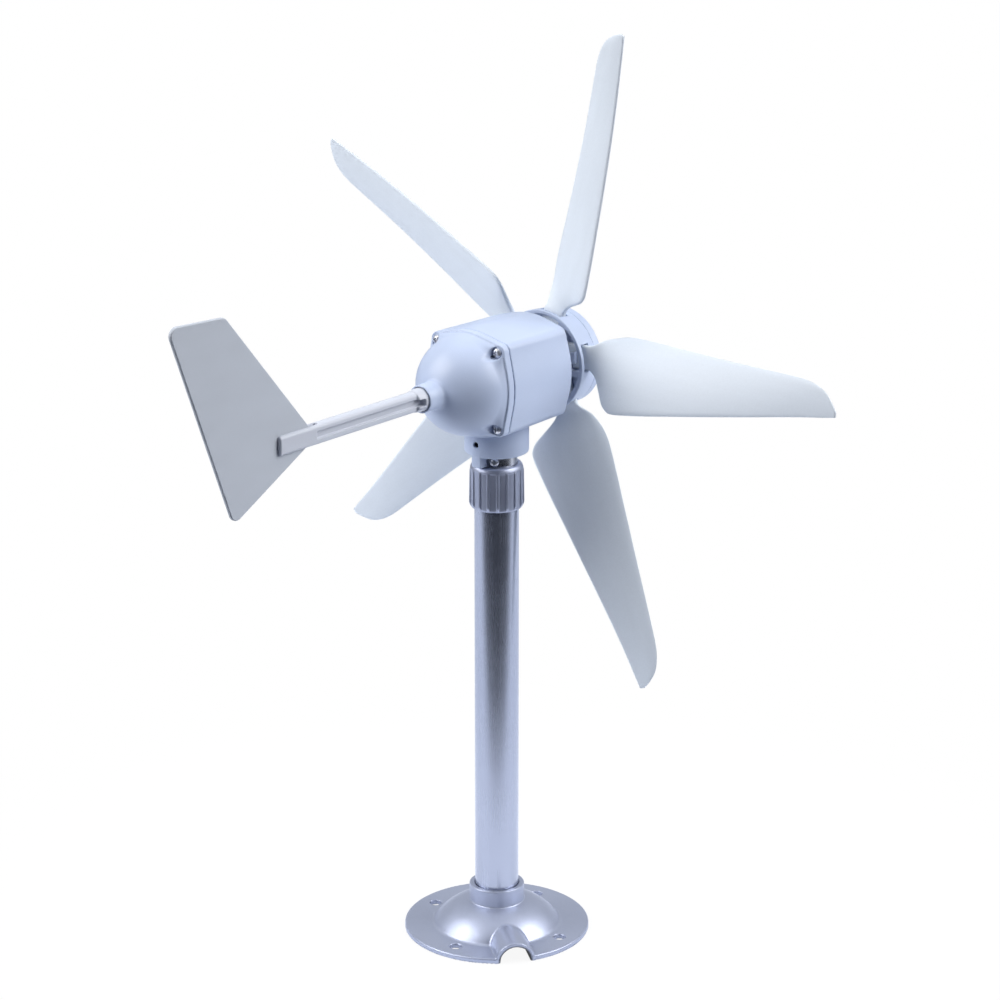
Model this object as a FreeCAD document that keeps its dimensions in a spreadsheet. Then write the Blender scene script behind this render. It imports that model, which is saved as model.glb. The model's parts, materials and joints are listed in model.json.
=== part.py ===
import FreeCAD, Part
import math
import os
import re

import Sketcher

from FreeCAD import Placement, Rotation, Vector

# Small five-blade wind turbine on a short mast, in millimetres.
# +Z is up along the mast, +X is the way the rotor faces, and the origin is the centre of the
# foot's underside.  Three rigid groups: the mast, the head that yaws about Z, and the rotor
# that spins about X at the height axis_height.

DRIVING = {
    # mast
    "foot_radius": 68.2,
    "foot_thick": 4.0,
    "foot_turn": 7.0,
    "foot_hole_radius": 4.25,
    "foot_hole_circle": 55.0,
    "dome_radius": 47.0,
    "dome_top": 22.0,
    "dome_arc": 42.0,
    "dome_wall": 3.5,
    "neck_radius": 20.2,
    "neck_top": 35.0,
    "pole_seat": 16.0,
    "tunnel_radius": 14.5,
    "tunnel_bore": 11.3,
    "pole_radius": 16.0,
    "pole_wall": 1.6,
    "pole_top": 350.0,
    "nut_radius": 19.6,
    "nut_bottom": 327.8,
    "nut_shoulder": 357.0,
    "nut_top": 360.6,
    "flute_count": 17.0,
    "flute_deep": 0.9,
    "ring_radius": 14.8,
    "ring_top": 368.0,
    "journal_radius": 10.0,
    "spindle_bore": 7.0,
    "spindle_top": 390.4,
    "stop_height": 364.9,
    "stop_turn": 214.0,
    # head
    "axis_height": 425.0,
    "boss_radius": 23.1,
    "boss_bottom": 369.2,
    "tab_bottom": 361.4,
    "body_rear": -25.2,
    "body_front": 38.0,
    "body_round": 37.4,
    "body_square": 32.6,
    "body_corner": 7.0,
    "body_bore": 33.0,
    "cap_radius": 36.6,
    "cap_screw_place": 27.5,
    "gasket_thick": 0.4,
    "cap_ear": 5.8,
    "cap_end": -82.0,
    "socket_radius": 10.0,
    "boom_radius": 7.3,
    "boom_flat": 4.6,
    "boom_end": -225.0,
    "boom_collar": 8.3,
    "fin_thick": 3.0,
    # rotor
    "shaft_radius": 4.0,
    "bearing_outer": 11.0,
    "bearing_wide": 7.0,
    "hub_rear": 50.0,
    "hub_part": 68.0,
    "hub_front": 76.0,
    "hub_rear_radius": 37.2,
    "hub_front_radius": 35.4,
    "blade_plane": 59.0,
    "foot_plate": 5.0,
    "blade_turn": -16.0,
}

doc = FreeCAD.newDocument("wind_turbine")
dims = doc.addObject("Spreadsheet::Sheet", "dims")
for row, (alias, number) in enumerate(DRIVING.items(), start=1):
    dims.set("A%d" % row, alias)
    dims.set("B%d" % row, str(number))
    dims.setAlias("B%d" % row, alias)
doc.recompute()

gauge = doc.addObject("Spreadsheet::Sheet", "gauge")
GAUGE_CELL = "A1"
parts = {}


# ---------------------------------------------------------------- helpers

def bound(expression):
    """The same expression with each alias named through the sheet."""
    return re.sub(r"\b[a-z_]{3,}\b(?!\()", lambda word: "dims." + word.group(0), str(expression))


def size(expression):
    """The present value of an expression of sheet aliases."""
    gauge.set(GAUGE_CELL, "=" + bound(expression))
    gauge.recompute()
    return float(gauge.get(GAUGE_CELL))


def bind(thing, sizes):
    for prop, expression in sizes.items():
        thing.setExpression(prop, bound(expression))


def move(thing, x="0", y="0", z="0", axis=None, angle="0"):
    """Place an object at bound coordinates, turned about one axis."""
    if axis is not None:
        thing.Placement = Placement(Vector(), Rotation(axis, size(angle)))
    bind(thing, {"Placement.Base.x": x, "Placement.Base.y": y, "Placement.Base.z": z})
    return thing


def keep(label, thing):
    """Record a finished sub-part under the name of its node."""
    thing.Label = label
    parts[label] = thing
    return thing


def origin_plane(body, role):
    return next(item for item in body.Origin.OriginFeatures if item.Role == role)


def new_sketch(body, role, name):
    sketch = body.newObject("Sketcher::SketchObject", name)
    sketch.AttachmentSupport = (origin_plane(body, role), [""])
    sketch.MapMode = "FlatFace"
    return sketch


def arc_between(start, end, radius):
    """Arc from start to end; a positive radius turns left on the way, a negative one right."""
    chord = end - start
    half = chord.Length / 2
    left = Vector(-chord.y, chord.x, 0).normalize()
    rise = math.sqrt(max(radius * radius - half * half, 0.0))
    centre = (start + end) / 2 + left * math.copysign(rise, radius)
    first, last = (start, end) if radius > 0 else (end, start)
    angles = [math.atan2(point.y - centre.y, point.x - centre.x) for point in (first, last)]
    if angles[1] < angles[0]:
        angles[1] += 2 * math.pi
    circle = Part.Circle(centre, Vector(0, 0, 1), abs(radius))
    return Part.ArcOfCircle(circle, angles[0], angles[1])


def draw_outline(sketch, corners):
    """Closed outline. Each corner is (x, y), or (x, y, radius) where an arc leaves it."""
    points = [Vector(size(corner[0]), size(corner[1]), 0) for corner in corners]
    ends = []
    for index, corner in enumerate(corners):
        start = points[index]
        end = points[(index + 1) % len(points)]
        if len(corner) == 3:
            radius = size(corner[2])
            edge = sketch.addGeometry(arc_between(start, end, radius))
            ends.append((edge, 1, 2) if radius > 0 else (edge, 2, 1))
            rule = sketch.addConstraint(Sketcher.Constraint("Radius", edge, abs(radius)))
            sketch.setExpression("Constraints[%d]" % rule, bound("abs(%s)" % corner[2]))
        else:
            edge = sketch.addGeometry(Part.LineSegment(start, end))
            ends.append((edge, 1, 2))
    for index, (edge, first, last) in enumerate(ends):
        following = ends[(index + 1) % len(ends)]
        sketch.addConstraint(Sketcher.Constraint("Coincident", edge, last, following[0], following[1]))
        for kind, value, axis in (("DistanceX", corners[index][0], -2),
                                  ("DistanceY", corners[index][1], -1)):
            if size(value) == 0:
                sketch.addConstraint(Sketcher.Constraint("PointOnObject", edge, first, axis))
                continue
            rule = sketch.addConstraint(
                Sketcher.Constraint(kind, -1, 1, edge, first, size(value)))
            sketch.setExpression("Constraints[%d]" % rule, bound(value))


def draw_circle(sketch, x, y, radius):
    centre = Vector(size(x), size(y), 0)
    edge = sketch.addGeometry(Part.Circle(centre, Vector(0, 0, 1), size(radius)))
    rule = sketch.addConstraint(Sketcher.Constraint("Radius", edge, size(radius)))
    sketch.setExpression("Constraints[%d]" % rule, bound(radius))
    for kind, value, axis in (("DistanceX", x, -2), ("DistanceY", y, -1)):
        if size(value) == 0:
            sketch.addConstraint(Sketcher.Constraint("PointOnObject", edge, 3, axis))
            continue
        rule = sketch.addConstraint(Sketcher.Constraint(kind, -1, 1, edge, 3, size(value)))
        sketch.setExpression("Constraints[%d]" % rule, bound(value))


def turned(name, axis, corners):
    """A lathe-turned body. For axis Z a corner is (radius, z); for axis X it is (x, radius)."""
    body = doc.addObject("PartDesign::Body", name)
    sketch = new_sketch(body, "XZ_Plane", name + "_profile")
    draw_outline(sketch, corners)
    solid = body.newObject("PartDesign::Revolution", name + "_turn")
    solid.Profile = sketch
    solid.ReferenceAxis = (sketch, ["V_Axis" if axis == "Z" else "H_Axis"])
    solid.Angle = 360
    doc.recompute()
    return body


def ring(name, axis, inner, outer, low, high):
    """A plain turned ring between two stations on its axis."""
    if axis == "Z":
        corners = [(inner, low), (outer, low), (outer, high), (inner, high)]
    else:
        corners = [(low, inner), (high, inner), (high, outer), (low, outer)]
    return turned(name, axis, corners)


def on_axis(body):
    """Lift a body made about the X axis to the height of the rotor's axis."""
    return move(body, z="axis_height")


def cut_all(name, base, tools):
    result = doc.addObject("Part::Cut", name)
    result.Base = base
    result.Tool = tools[0] if len(tools) == 1 else join_all(name + "_tools", tools)
    return result


def join_all(name, shapes):
    result = doc.addObject("Part::MultiFuse", name)
    result.Shapes = shapes
    return result


def cylinder(name, radius, length, x="0", y="0", z="0", axis=None, angle="0"):
    rod = doc.addObject("Part::Cylinder", name)
    bind(rod, {"Radius": radius, "Height": length})
    return move(rod, x, y, z, axis, angle)


def box(name, length, width, height, x="0", y="0", z="0"):
    block = doc.addObject("Part::Box", name)
    bind(block, {"Length": length, "Width": width, "Height": height})
    return move(block, x, y, z)


def copies(label, master, placements):
    """One node that holds identical pieces, each a separate solid."""
    doc.recompute()
    group = doc.addObject("Part::Feature", label)
    shapes = []
    for placement in placements:
        piece = master.Shape.copy()
        piece.Placement = placement.multiply(piece.Placement)
        shapes.append(piece)
    group.Shape = Part.makeCompound(shapes)
    return keep(label, group)


def pan_screw(name, shank, head, head_tall, long):
    """Cross-recess pan-head screw along +Z, with the seat of its head at z = 0."""
    body = turned(name, "Z", [
        ("0", "-" + long),
        (shank, "-" + long),
        (shank, "0"),
        (head, "0"),
        (head, head_tall + " * 0.35", head + " * 0.9"),
        (head + " * 0.45", head_tall),
        ("0", head_tall),
    ])
    narrow, long_side = head + " * 0.13", head + " * 0.62"
    for turn, (half_x, half_y) in enumerate(((narrow, long_side), (long_side, narrow))):
        sketch = new_sketch(body, "XY_Plane", "%s_slot_%d" % (name, turn))
        draw_outline(sketch, [("-" + half_x, "-" + half_y), (half_x, "-" + half_y),
                              (half_x, half_y), ("-" + half_x, half_y)])
        slot = body.newObject("PartDesign::Pocket", "%s_recess_%d" % (name, turn))
        slot.Profile = sketch
        slot.Reversed = True
        slot.Length = size(head_tall) * 1.1
        sketch.AttachmentOffset = Placement(Vector(0, 0, size(head_tall) * 0.4), Rotation())
    doc.recompute()
    return body


def socket_screw(name, radius, long):
    """Headless set screw along +Z with a hexagon socket in its top face."""
    body = turned(name, "Z", [("0", "0"), (radius + " * 0.6", "0"), (radius, radius + " * 0.4"),
                              (radius, long), ("0", long)])
    sketch = new_sketch(body, "XY_Plane", name + "_hexagon")
    across = size(radius) * 0.55
    corners = []
    for side in range(6):
        angle = math.radians(60 * side)
        corners.append(("%.4f" % (across * math.cos(angle)), "%.4f" % (across * math.sin(angle))))
    draw_outline(sketch, corners)
    sketch.AttachmentOffset = Placement(Vector(0, 0, size(long) - size(radius)), Rotation())
    socket = body.newObject("PartDesign::Pocket", name + "_socket")
    socket.Profile = sketch
    socket.Reversed = True
    socket.Length = size(radius) * 1.2
    doc.recompute()
    return body


X_AXIS = Vector(1, 0, 0)
Y_AXIS = Vector(0, 1, 0)
Z_AXIS = Vector(0, 0, 1)


def along_x(name, radius, length, x="0", y="0", z="0"):
    """A cylinder that starts at x, y, z and runs towards +X."""
    return cylinder(name, radius, length, x, y, z, Y_AXIS, "90")


def rotated(axis, degrees):
    """A turn about an axis through the origin."""
    return Placement(Vector(), Rotation(axis, degrees))


# ---------------------------------------------------------------- mast

FIT = "0.05"
FOOT_HOLES = (45, 135, 225, 315)
POLE_SCREW_ANGLES = (165, 195)
# The cable tunnel runs along the foot's own +X, midway between two bolt holes.
TUNNEL_TURN = "foot_turn + 225"
TUNNEL_LIFT = "1"
CABLE_HOLE = "13"
NECK_SCREW_HEIGHT = "27"


def make_foot():
    shell = turned("foot_shell", "Z", [
        ("0", "0"),
        ("foot_radius", "0"),
        ("foot_radius", "foot_thick - 1.2"),
        ("foot_radius - 1.2", "foot_thick"),
        ("dome_radius", "foot_thick", "dome_arc"),
        ("neck_radius", "dome_top"),
        ("neck_radius", "neck_top - 0.8"),
        ("neck_radius - 0.8", "neck_top"),
        ("0", "neck_top"),
    ])
    hollow = turned("foot_hollow", "Z", [
        ("0", "-1"),
        ("dome_radius - dome_wall - 1", "-1"),
        ("dome_radius - dome_wall - 1", "1", "dome_arc - dome_wall"),
        ("neck_radius + 2.3", "pole_seat"),
        ("neck_radius", "pole_seat - 4"),
        ("0", "pole_seat - 4"),
    ])
    ridge_bar = along_x("ridge_bar", "tunnel_radius", "foot_radius", z=TUNNEL_LIFT)
    ridge_limit = cylinder("ridge_limit", "foot_radius", "neck_top")
    ridge = doc.addObject("Part::Common", "ridge")
    ridge.Base = ridge_bar
    ridge.Tool = ridge_limit
    solid = join_all("foot_solid", [shell, ridge])
    cuts = [
        hollow,
        cylinder("cable_hole", CABLE_HOLE, "neck_top"),
        cylinder("pole_socket", "pole_radius + " + FIT, "neck_top", z="pole_seat"),
        along_x("tunnel_arch", "tunnel_bore", "foot_radius", x="neck_radius + 4", z=TUNNEL_LIFT),
        box("tunnel_floor", "foot_radius", "tunnel_bore * 2", "2",
            x="neck_radius + 4", y="-tunnel_bore", z="-1"),
        turned("mouth_bevel", "Z", [("0", "neck_top - 1.6"), ("pole_radius", "neck_top - 1.6"),
                                    ("pole_radius + 2.1", "neck_top + 0.5"), ("0", "neck_top + 0.5")]),
    ]
    for angle in FOOT_HOLES:
        rad = math.radians(angle)
        x = "foot_hole_circle * %.8f" % math.cos(rad)
        y = "foot_hole_circle * %.8f" % math.sin(rad)
        cuts.append(cylinder("bolt_hole_%d" % angle, "foot_hole_radius", "foot_thick * 2",
                             x, y, "-foot_thick / 2"))
        bevel = turned("bolt_bevel_%d" % angle, "Z", [
            ("0", "foot_thick - 0.7"), ("foot_hole_radius", "foot_thick - 0.7"),
            ("foot_hole_radius + 1", "foot_thick + 0.3"), ("0", "foot_thick + 0.3")])
        cuts.append(move(bevel, x, y, "0"))
    for angle in POLE_SCREW_ANGLES:
        hole = along_x("pole_screw_hole_%d" % angle, "2.5", "neck_radius * 1.2", z=NECK_SCREW_HEIGHT)
        hole.Placement = rotated(Z_AXIS, angle).multiply(hole.Placement)
        cuts.append(hole)
    foot = cut_all("foot", solid, cuts)
    move(foot, axis=Z_AXIS, angle=TUNNEL_TURN)
    keep("base_flange", foot)


def make_pole_screws():
    master = socket_screw("pole_screw_master", "2.45", "3.9")
    turn = size(TUNNEL_TURN)
    seat = Placement(Vector(size("pole_radius + 0.02"), 0, size(NECK_SCREW_HEIGHT)), Rotation(Y_AXIS, 90))
    copies("pole_set_screws", master,
           [rotated(Z_AXIS, turn + angle).multiply(seat) for angle in POLE_SCREW_ANGLES])


def make_pole():
    keep("pole_tube", ring("tube", "Z", "pole_radius - pole_wall", "pole_radius",
                           "pole_seat", "pole_top"))


def make_nut():
    thread = "pole_radius + " + FIT
    nut = turned("nut", "Z", [
        (thread, "nut_bottom"),
        ("nut_radius - 1.4", "nut_bottom"),
        ("nut_radius + 0.3", "nut_bottom + 3"),
        ("nut_radius - 0.2", "nut_shoulder"),
        ("nut_radius - 2", "nut_top"),
        ("ring_radius + 0.15", "nut_top"),
        ("ring_radius + 0.15", "pole_top + 4.15"),
        (thread, "pole_top + 4.15"),
    ])
    sketch = new_sketch(nut, "XY_Plane", "flute")
    draw_outline(sketch, [
        ("nut_radius - flute_deep", "-nut_radius * 0.12"),
        ("nut_radius + 2", "-nut_radius * 0.12"),
        ("nut_radius + 2", "nut_radius * 0.12"),
        ("nut_radius - flute_deep", "nut_radius * 0.12"),
    ])
    sketch.AttachmentOffset = Placement(Vector(0, 0, size("nut_bottom - 1")), Rotation())
    before = nut.Shape.Volume
    flute = nut.newObject("PartDesign::Pocket", "flute_cut")
    flute.Profile = sketch
    flute.Reversed = True
    bind(flute, {"Length": "nut_shoulder - nut_bottom + 0.4"})
    doc.recompute()
    spread = nut.newObject("PartDesign::PolarPattern", "flutes")
    spread.Originals = [flute]
    spread.Axis = (sketch, ["N_Axis"])
    spread.Angle = 360
    spread.Occurrences = int(size("flute_count"))
    nut.Tip = spread
    doc.recompute()
    if nut.Shape.Volume > before - 200:
        raise ValueError("the flutes cut nothing")
    keep("collar_nut", nut)


def make_spindle():
    spindle = turned("spindle", "Z", [
        ("spindle_bore", "pole_top - 14"),
        ("pole_radius - pole_wall - 0.1", "pole_top - 14"),
        ("pole_radius - pole_wall - 0.1", "pole_top"),
        ("pole_radius", "pole_top"),
        ("pole_radius", "pole_top + 4.1"),
        ("ring_radius", "pole_top + 4.1"),
        ("ring_radius", "ring_top - 1"),
        ("ring_radius - 0.6", "ring_top"),
        ("journal_radius", "ring_top"),
        ("journal_radius", "spindle_top - 1.9"),
        ("journal_radius - 0.7", "spindle_top - 1.9"),
        ("journal_radius - 0.7", "spindle_top - 0.7"),
        ("journal_radius", "spindle_top - 0.7"),
        ("journal_radius - 0.6", "spindle_top"),
        ("spindle_bore", "spindle_top"),
    ])
    hole = along_x("stop_hole", "1.75", "ring_radius + 1", z="stop_height")
    hole.Placement = rotated(Z_AXIS, size("stop_turn")).multiply(hole.Placement)
    keep("yaw_spindle", cut_all("spindle_cut", spindle, [hole]))


def make_stop_screw():
    master = pan_screw("stop_master", "1.7", "3.3", "2.2", "6.5")
    seat = Placement(Vector(size("ring_radius"), 0, size("stop_height")), Rotation(Y_AXIS, 90))
    copies("stop_screw", master, [rotated(Z_AXIS, size("stop_turn")).multiply(seat)])


def snap_ring(label, axis, inner, outer, low, high, gap):
    """An open retaining ring with a gap that faces +X on axis Z, or +Y on axis X."""
    blank = ring(label + "_blank", axis, inner, outer, low, high)
    if axis == "Z":
        notch = box(label + "_gap", outer + " * 2", gap, "4", x="0",
                    y="-(%s) / 2" % gap, z="(%s) - 1" % low)
    else:
        notch = box(label + "_gap", "4", outer + " * 2", gap, x="(%s) - 1" % low,
                    y="0", z="-(%s) / 2" % gap)
    return cut_all(label + "_open", blank, [notch])


def make_mast():
    make_foot()
    make_pole_screws()
    make_pole()
    make_nut()
    make_spindle()
    make_stop_screw()
    keep("thrust_washer", ring("washer", "Z", "journal_radius + 0.1", "ring_radius - 0.4",
                               "ring_top", "ring_top + 1.15"))
    keep("spindle_circlip", snap_ring("spindle_ring", "Z", "journal_radius - 0.65",
                                      "journal_radius + 2", "spindle_top - 1.85",
                                      "spindle_top - 0.75", "5"))


# ---------------------------------------------------------------- head

BUSH_OUTER = "12.5"
BUSH_FLANGE = "14.5"
LOWER_FLANGE_TOP = "boss_bottom + 2.1"
LOWER_BUSH_TOP = "boss_bottom + 9.5"
UPPER_BUSH_LOW = "spindle_top - 10.2"
UPPER_FLANGE_LOW = "spindle_top - 3"
UPPER_FLANGE_TOP = "spindle_top - 1.95"
GRUB_HEIGHT = "378.4"
GRUB_RADIUS = "2.0"
CORNERS = ((-1, -1), (-1, 1), (1, 1), (1, -1))
PLATE_SCREWS = (45, 135, 225, 315)
PLATE_SCREW_CIRCLE = 30.5


def plate_screw_spot(angle):
    """Y, and Z above the rotor's axis, of one screw of the front bearing plate."""
    rad = math.radians(angle)
    return PLATE_SCREW_CIRCLE * math.cos(rad), PLATE_SCREW_CIRCLE * math.sin(rad)


def rounded_bar(name, half, low, length, corner):
    """A square bar along X with rounded long edges, centred on the rotor's axis."""
    bar = box(name + "_bar", length, "(%s) * 2" % half, "(%s) * 2" % half,
              x=low, y="-(%s)" % half, z="axis_height - (%s)" % half)
    doc.recompute()
    rounded = doc.addObject("Part::Fillet", name)
    rounded.Base = bar
    radius = size(corner)
    long_edges = []
    for number, edge in enumerate(bar.Shape.Edges, start=1):
        if abs(edge.tangentAt(edge.FirstParameter).x) > 0.99:
            long_edges.append((number, radius, radius))
    rounded.Edges = long_edges
    return rounded


def cap_screw_holes(name, radius, low, length):
    holes = []
    for side, level in CORNERS:
        holes.append(along_x("%s_%d_%d" % (name, side + 1, level + 1), radius, length, x=low,
                             y="cap_screw_place * %d" % side,
                             z="axis_height + cap_screw_place * %d" % level))
    return holes


def make_nacelle():
    length = "body_front - body_rear"
    solid = join_all("nacelle_solid", [
        along_x("nacelle_round", "body_round", length, x="body_rear", z="axis_height"),
        rounded_bar("nacelle_square", "body_square", "body_rear", length, "body_corner"),
        cylinder("boss", "boss_radius", "axis_height - boss_bottom", z="boss_bottom"),
        tab_solid(),
    ])
    grub_hole = along_x("grub_hole", GRUB_RADIUS + " + 0.05", "boss_radius",
                        x="-boss_radius - 1", z=GRUB_HEIGHT)
    cuts = [
        along_x("generator_bore", "body_bore", "body_front - 10 - body_rear + 1",
                x="body_rear - 1", z="axis_height"),
        along_x("shoulder_bore", "28", length, x="body_rear", z="axis_height"),
        along_x("plate_bore", "body_bore + 2", "10", x="body_front - 5", z="axis_height"),
        cylinder("bush_bore", BUSH_OUTER, "30", z="boss_bottom - 1"),
        cylinder("lower_recess", BUSH_FLANGE + " + " + FIT, "3.1", z="boss_bottom - 1"),
        cylinder("upper_recess", BUSH_FLANGE, "12", z=UPPER_FLANGE_LOW),
        grub_hole,
    ]
    cuts += cap_screw_holes("body_screw_hole", "1.75", "body_rear - 1", "14")
    for angle in PLATE_SCREWS:
        y, z = plate_screw_spot(angle)
        cuts.append(along_x("plate_tap_%d" % angle, "1.25", "6", x="body_front - 10.5",
                            y="%.6f" % y, z="axis_height + %.6f" % z))
    keep("nacelle_body", cut_all("nacelle", solid, cuts))


TAB_HALF = "4.2"
TAB_INNER = "15.5"


def tab_solid():
    """The stop tab: it hangs from the boss's rear edge, flush with the boss."""
    block = box("tab_block", "boss_radius - " + TAB_INNER, TAB_HALF + " * 2",
                "boss_bottom - tab_bottom + 2", x="-boss_radius", y="-" + TAB_HALF, z="tab_bottom")
    limit = cylinder("tab_limit", "boss_radius", "boss_bottom - tab_bottom + 2", z="tab_bottom")
    tab = doc.addObject("Part::Common", "tab")
    tab.Base = block
    tab.Tool = limit
    return tab


def make_bushes():
    inner = "journal_radius + 0.03"
    keep("lower_yaw_bush", turned("lower_bush", "Z", [
        (inner, "ring_top + 1.3"), (BUSH_FLANGE, "ring_top + 1.3"), (BUSH_FLANGE, LOWER_FLANGE_TOP),
        (BUSH_OUTER, LOWER_FLANGE_TOP), (BUSH_OUTER, LOWER_BUSH_TOP), (inner, LOWER_BUSH_TOP)]))
    keep("upper_yaw_bush", turned("upper_bush", "Z", [
        (inner, UPPER_BUSH_LOW), (BUSH_OUTER, UPPER_BUSH_LOW), (BUSH_OUTER, UPPER_FLANGE_LOW),
        (BUSH_FLANGE + " - 0.6", UPPER_FLANGE_LOW), (BUSH_FLANGE + " - 0.6", UPPER_FLANGE_TOP),
        (inner, UPPER_FLANGE_TOP)]))


def make_grub_screw():
    master = socket_screw("grub_master", GRUB_RADIUS, "4.5")
    seat = Placement(Vector(-size(BUSH_OUTER) - 0.05, 0, size(GRUB_HEIGHT)), Rotation(Y_AXIS, -90))
    copies("boss_grub_screw", master, [seat])


GASKET_REAR = "body_rear - gasket_thick"
EAR_REAR = "body_rear - gasket_thick - cap_ear"
SOCKET_START = EAR_REAR + " - sqrt(cap_radius * cap_radius - socket_radius * socket_radius)"


def make_gasket():
    solid = join_all("gasket_solid", [
        along_x("gasket_round", "body_round - 0.9", "gasket_thick", x=GASKET_REAR, z="axis_height"),
        rounded_bar("gasket_square", "body_square - 0.7", GASKET_REAR, "gasket_thick",
                    "body_corner"),
    ])
    cuts = [along_x("gasket_bore", "body_bore", "gasket_thick * 3", x="body_rear - gasket_thick * 2",
                    z="axis_height")]
    cuts += cap_screw_holes("gasket_hole", "2.1", "body_rear - gasket_thick * 2", "gasket_thick * 3")
    keep("cap_gasket", cut_all("gasket", solid, cuts))


def make_cap():
    wall = "2.6"
    dome = on_axis(turned("cap_dome", "X", [
        (GASKET_REAR, "0"),
        (GASKET_REAR, "cap_radius"),
        (EAR_REAR, "cap_radius", "cap_radius"),
        (SOCKET_START, "socket_radius"),
        ("cap_end", "socket_radius"),
        ("cap_end", "0"),
    ]))
    hollow = on_axis(turned("cap_hollow", "X", [
        ("body_rear", "0"),
        ("body_rear", "cap_radius - " + wall),
        (EAR_REAR, "cap_radius - " + wall, "cap_radius - " + wall),
        (SOCKET_START + " + 3", "socket_radius + 1"),
        (SOCKET_START + " + 3", "0"),
    ]))
    solid = join_all("cap_solid", [
        dome,
        rounded_bar("cap_ears", "body_square - 0.3", EAR_REAR, "cap_ear", "body_corner"),
    ])
    cuts = [
        hollow,
        along_x("boom_bore", "6.1", "30", x="cap_end - 1", z="axis_height"),
        along_x("collar_recess", "boom_collar + 0.35", "5", x="cap_end - 1", z="axis_height"),
    ]
    cuts += cap_screw_holes("cap_hole", "1.85", EAR_REAR + " - 1", "cap_ear * 3")
    cuts += cap_screw_holes("cap_recess", "4.1", EAR_REAR + " - 20", "20")
    keep("rear_cap", cut_all("cap", solid, cuts))


def make_cap_screws():
    master = pan_screw("cap_screw_master", "1.7", "3.5", "2.5", "13")
    places = []
    for side, level in CORNERS:
        spot = Vector(size(EAR_REAR), size("cap_screw_place") * side,
                      size("axis_height") + size("cap_screw_place") * level)
        places.append(Placement(spot, Rotation(Y_AXIS, -90)))
    copies("cap_screws", master, places)


BOOM_THREAD = "6.0"
GROOVE_HALF = "2.4"
GROOVE_DEEP = "1.9"
FIN_SLOT_FRONT = "boom_end + 38.5"


def make_boom():
    rod = on_axis(turned("boom_rod", "X", [
        ("boom_end", "0"),
        ("boom_end", "boom_radius"),
        ("cap_end - 10", "boom_radius"),
        ("cap_end - 3", "boom_collar"),
        ("cap_end + 4", "boom_collar"),
        ("cap_end + 4", "0"),
    ]))
    flats = box("boom_flats", "-boom_end", "boom_flat * 2", "boom_collar * 4",
                x="boom_end", y="-boom_flat", z="axis_height - boom_collar * 2")
    full = along_x("boom_full", "boom_collar + 1", "30", x="cap_end - 8", z="axis_height")
    section = join_all("boom_section", [flats, full])
    bar = doc.addObject("Part::Common", "boom_bar")
    bar.Base = rod
    bar.Tool = section
    stud = along_x("boom_stud", BOOM_THREAD, "25.5", x="cap_end + 4", z="axis_height")
    cuts = []
    for side in (-1, 1):
        y = "boom_flat - " + GROOVE_DEEP if side > 0 else "-boom_flat - 3"
        cuts.append(box("groove_%d" % (side + 1), "-boom_end - 125", GROOVE_DEEP + " + 3",
                        GROOVE_HALF + " * 2", x="boom_end + 35", y=y,
                        z="axis_height - " + GROOVE_HALF))
    cuts.append(box("fin_slot", FIN_SLOT_FRONT + " - boom_end + 1", "fin_thick + 0.04", "30",
                    x="boom_end - 1", y="-fin_thick / 2 - 0.02", z="axis_height - 15"))
    keep("tail_boom", cut_all("boom", join_all("boom_solid", [bar, stud]), cuts))


def make_boom_fixings():
    seat = SOCKET_START + " + 3"
    keep("boom_washer", on_axis(ring("boom_washer_ring", "X", "6.1", "10",
                                     seat, seat + " + 1.4")))
    nut = doc.addObject("Part::Prism", "nut_blank")
    nut.Polygon = 6
    nut.Circumradius = 10.4
    nut.Height = 5
    nut.Placement = Placement(Vector(), Rotation(Y_AXIS, 90))
    bind(nut, {"Placement.Base.x": seat + " + 1.4", "Placement.Base.z": "axis_height"})
    bore = along_x("nut_bore", BOOM_THREAD + " + 0.02", "20", x=seat, z="axis_height")
    keep("boom_nut", cut_all("boom_nut_solid", nut, [bore]))


FIN_CORNERS = (
    ("-322", "99.6"),
    ("-270.5", "96.8"),
    ("-187", "-2"),
    ("-267", "-44.4"),
)
FIN_ROUNDS = ("6", "7", "1", "6")


def make_fin():
    """The vane: a four-sided plate whose corners are given from the rotor's axis."""
    body = doc.addObject("PartDesign::Body", "fin")
    sketch = new_sketch(body, "XZ_Plane", "fin_outline")
    draw_outline(sketch, FIN_CORNERS)
    plate = body.newObject("PartDesign::Pad", "fin_plate")
    plate.Profile = sketch
    bind(plate, {"Length": "fin_thick"})
    plate.Midplane = True
    doc.recompute()
    rounding = doc.addObject("Part::Fillet", "fin_rounded")
    rounding.Base = body
    edges = []
    for number, edge in enumerate(body.Shape.Edges, start=1):
        if abs(edge.tangentAt(edge.FirstParameter).y) < 0.99:
            continue
        for (x, z), radius in zip(FIN_CORNERS, FIN_ROUNDS):
            spot = edge.Vertexes[0].Point
            if abs(spot.x - size(x)) < 0.5 and abs(spot.z - size(z)) < 0.5:
                edges.append((number, size(radius), size(radius)))
    rounding.Edges = edges
    keep("tail_fin", move(rounding, z="axis_height"))


STATOR_HALF = "14"
TOOTH_COUNT = 9
TOOTH_WIDE = 7.0
POLE_COUNT = 8


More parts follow.
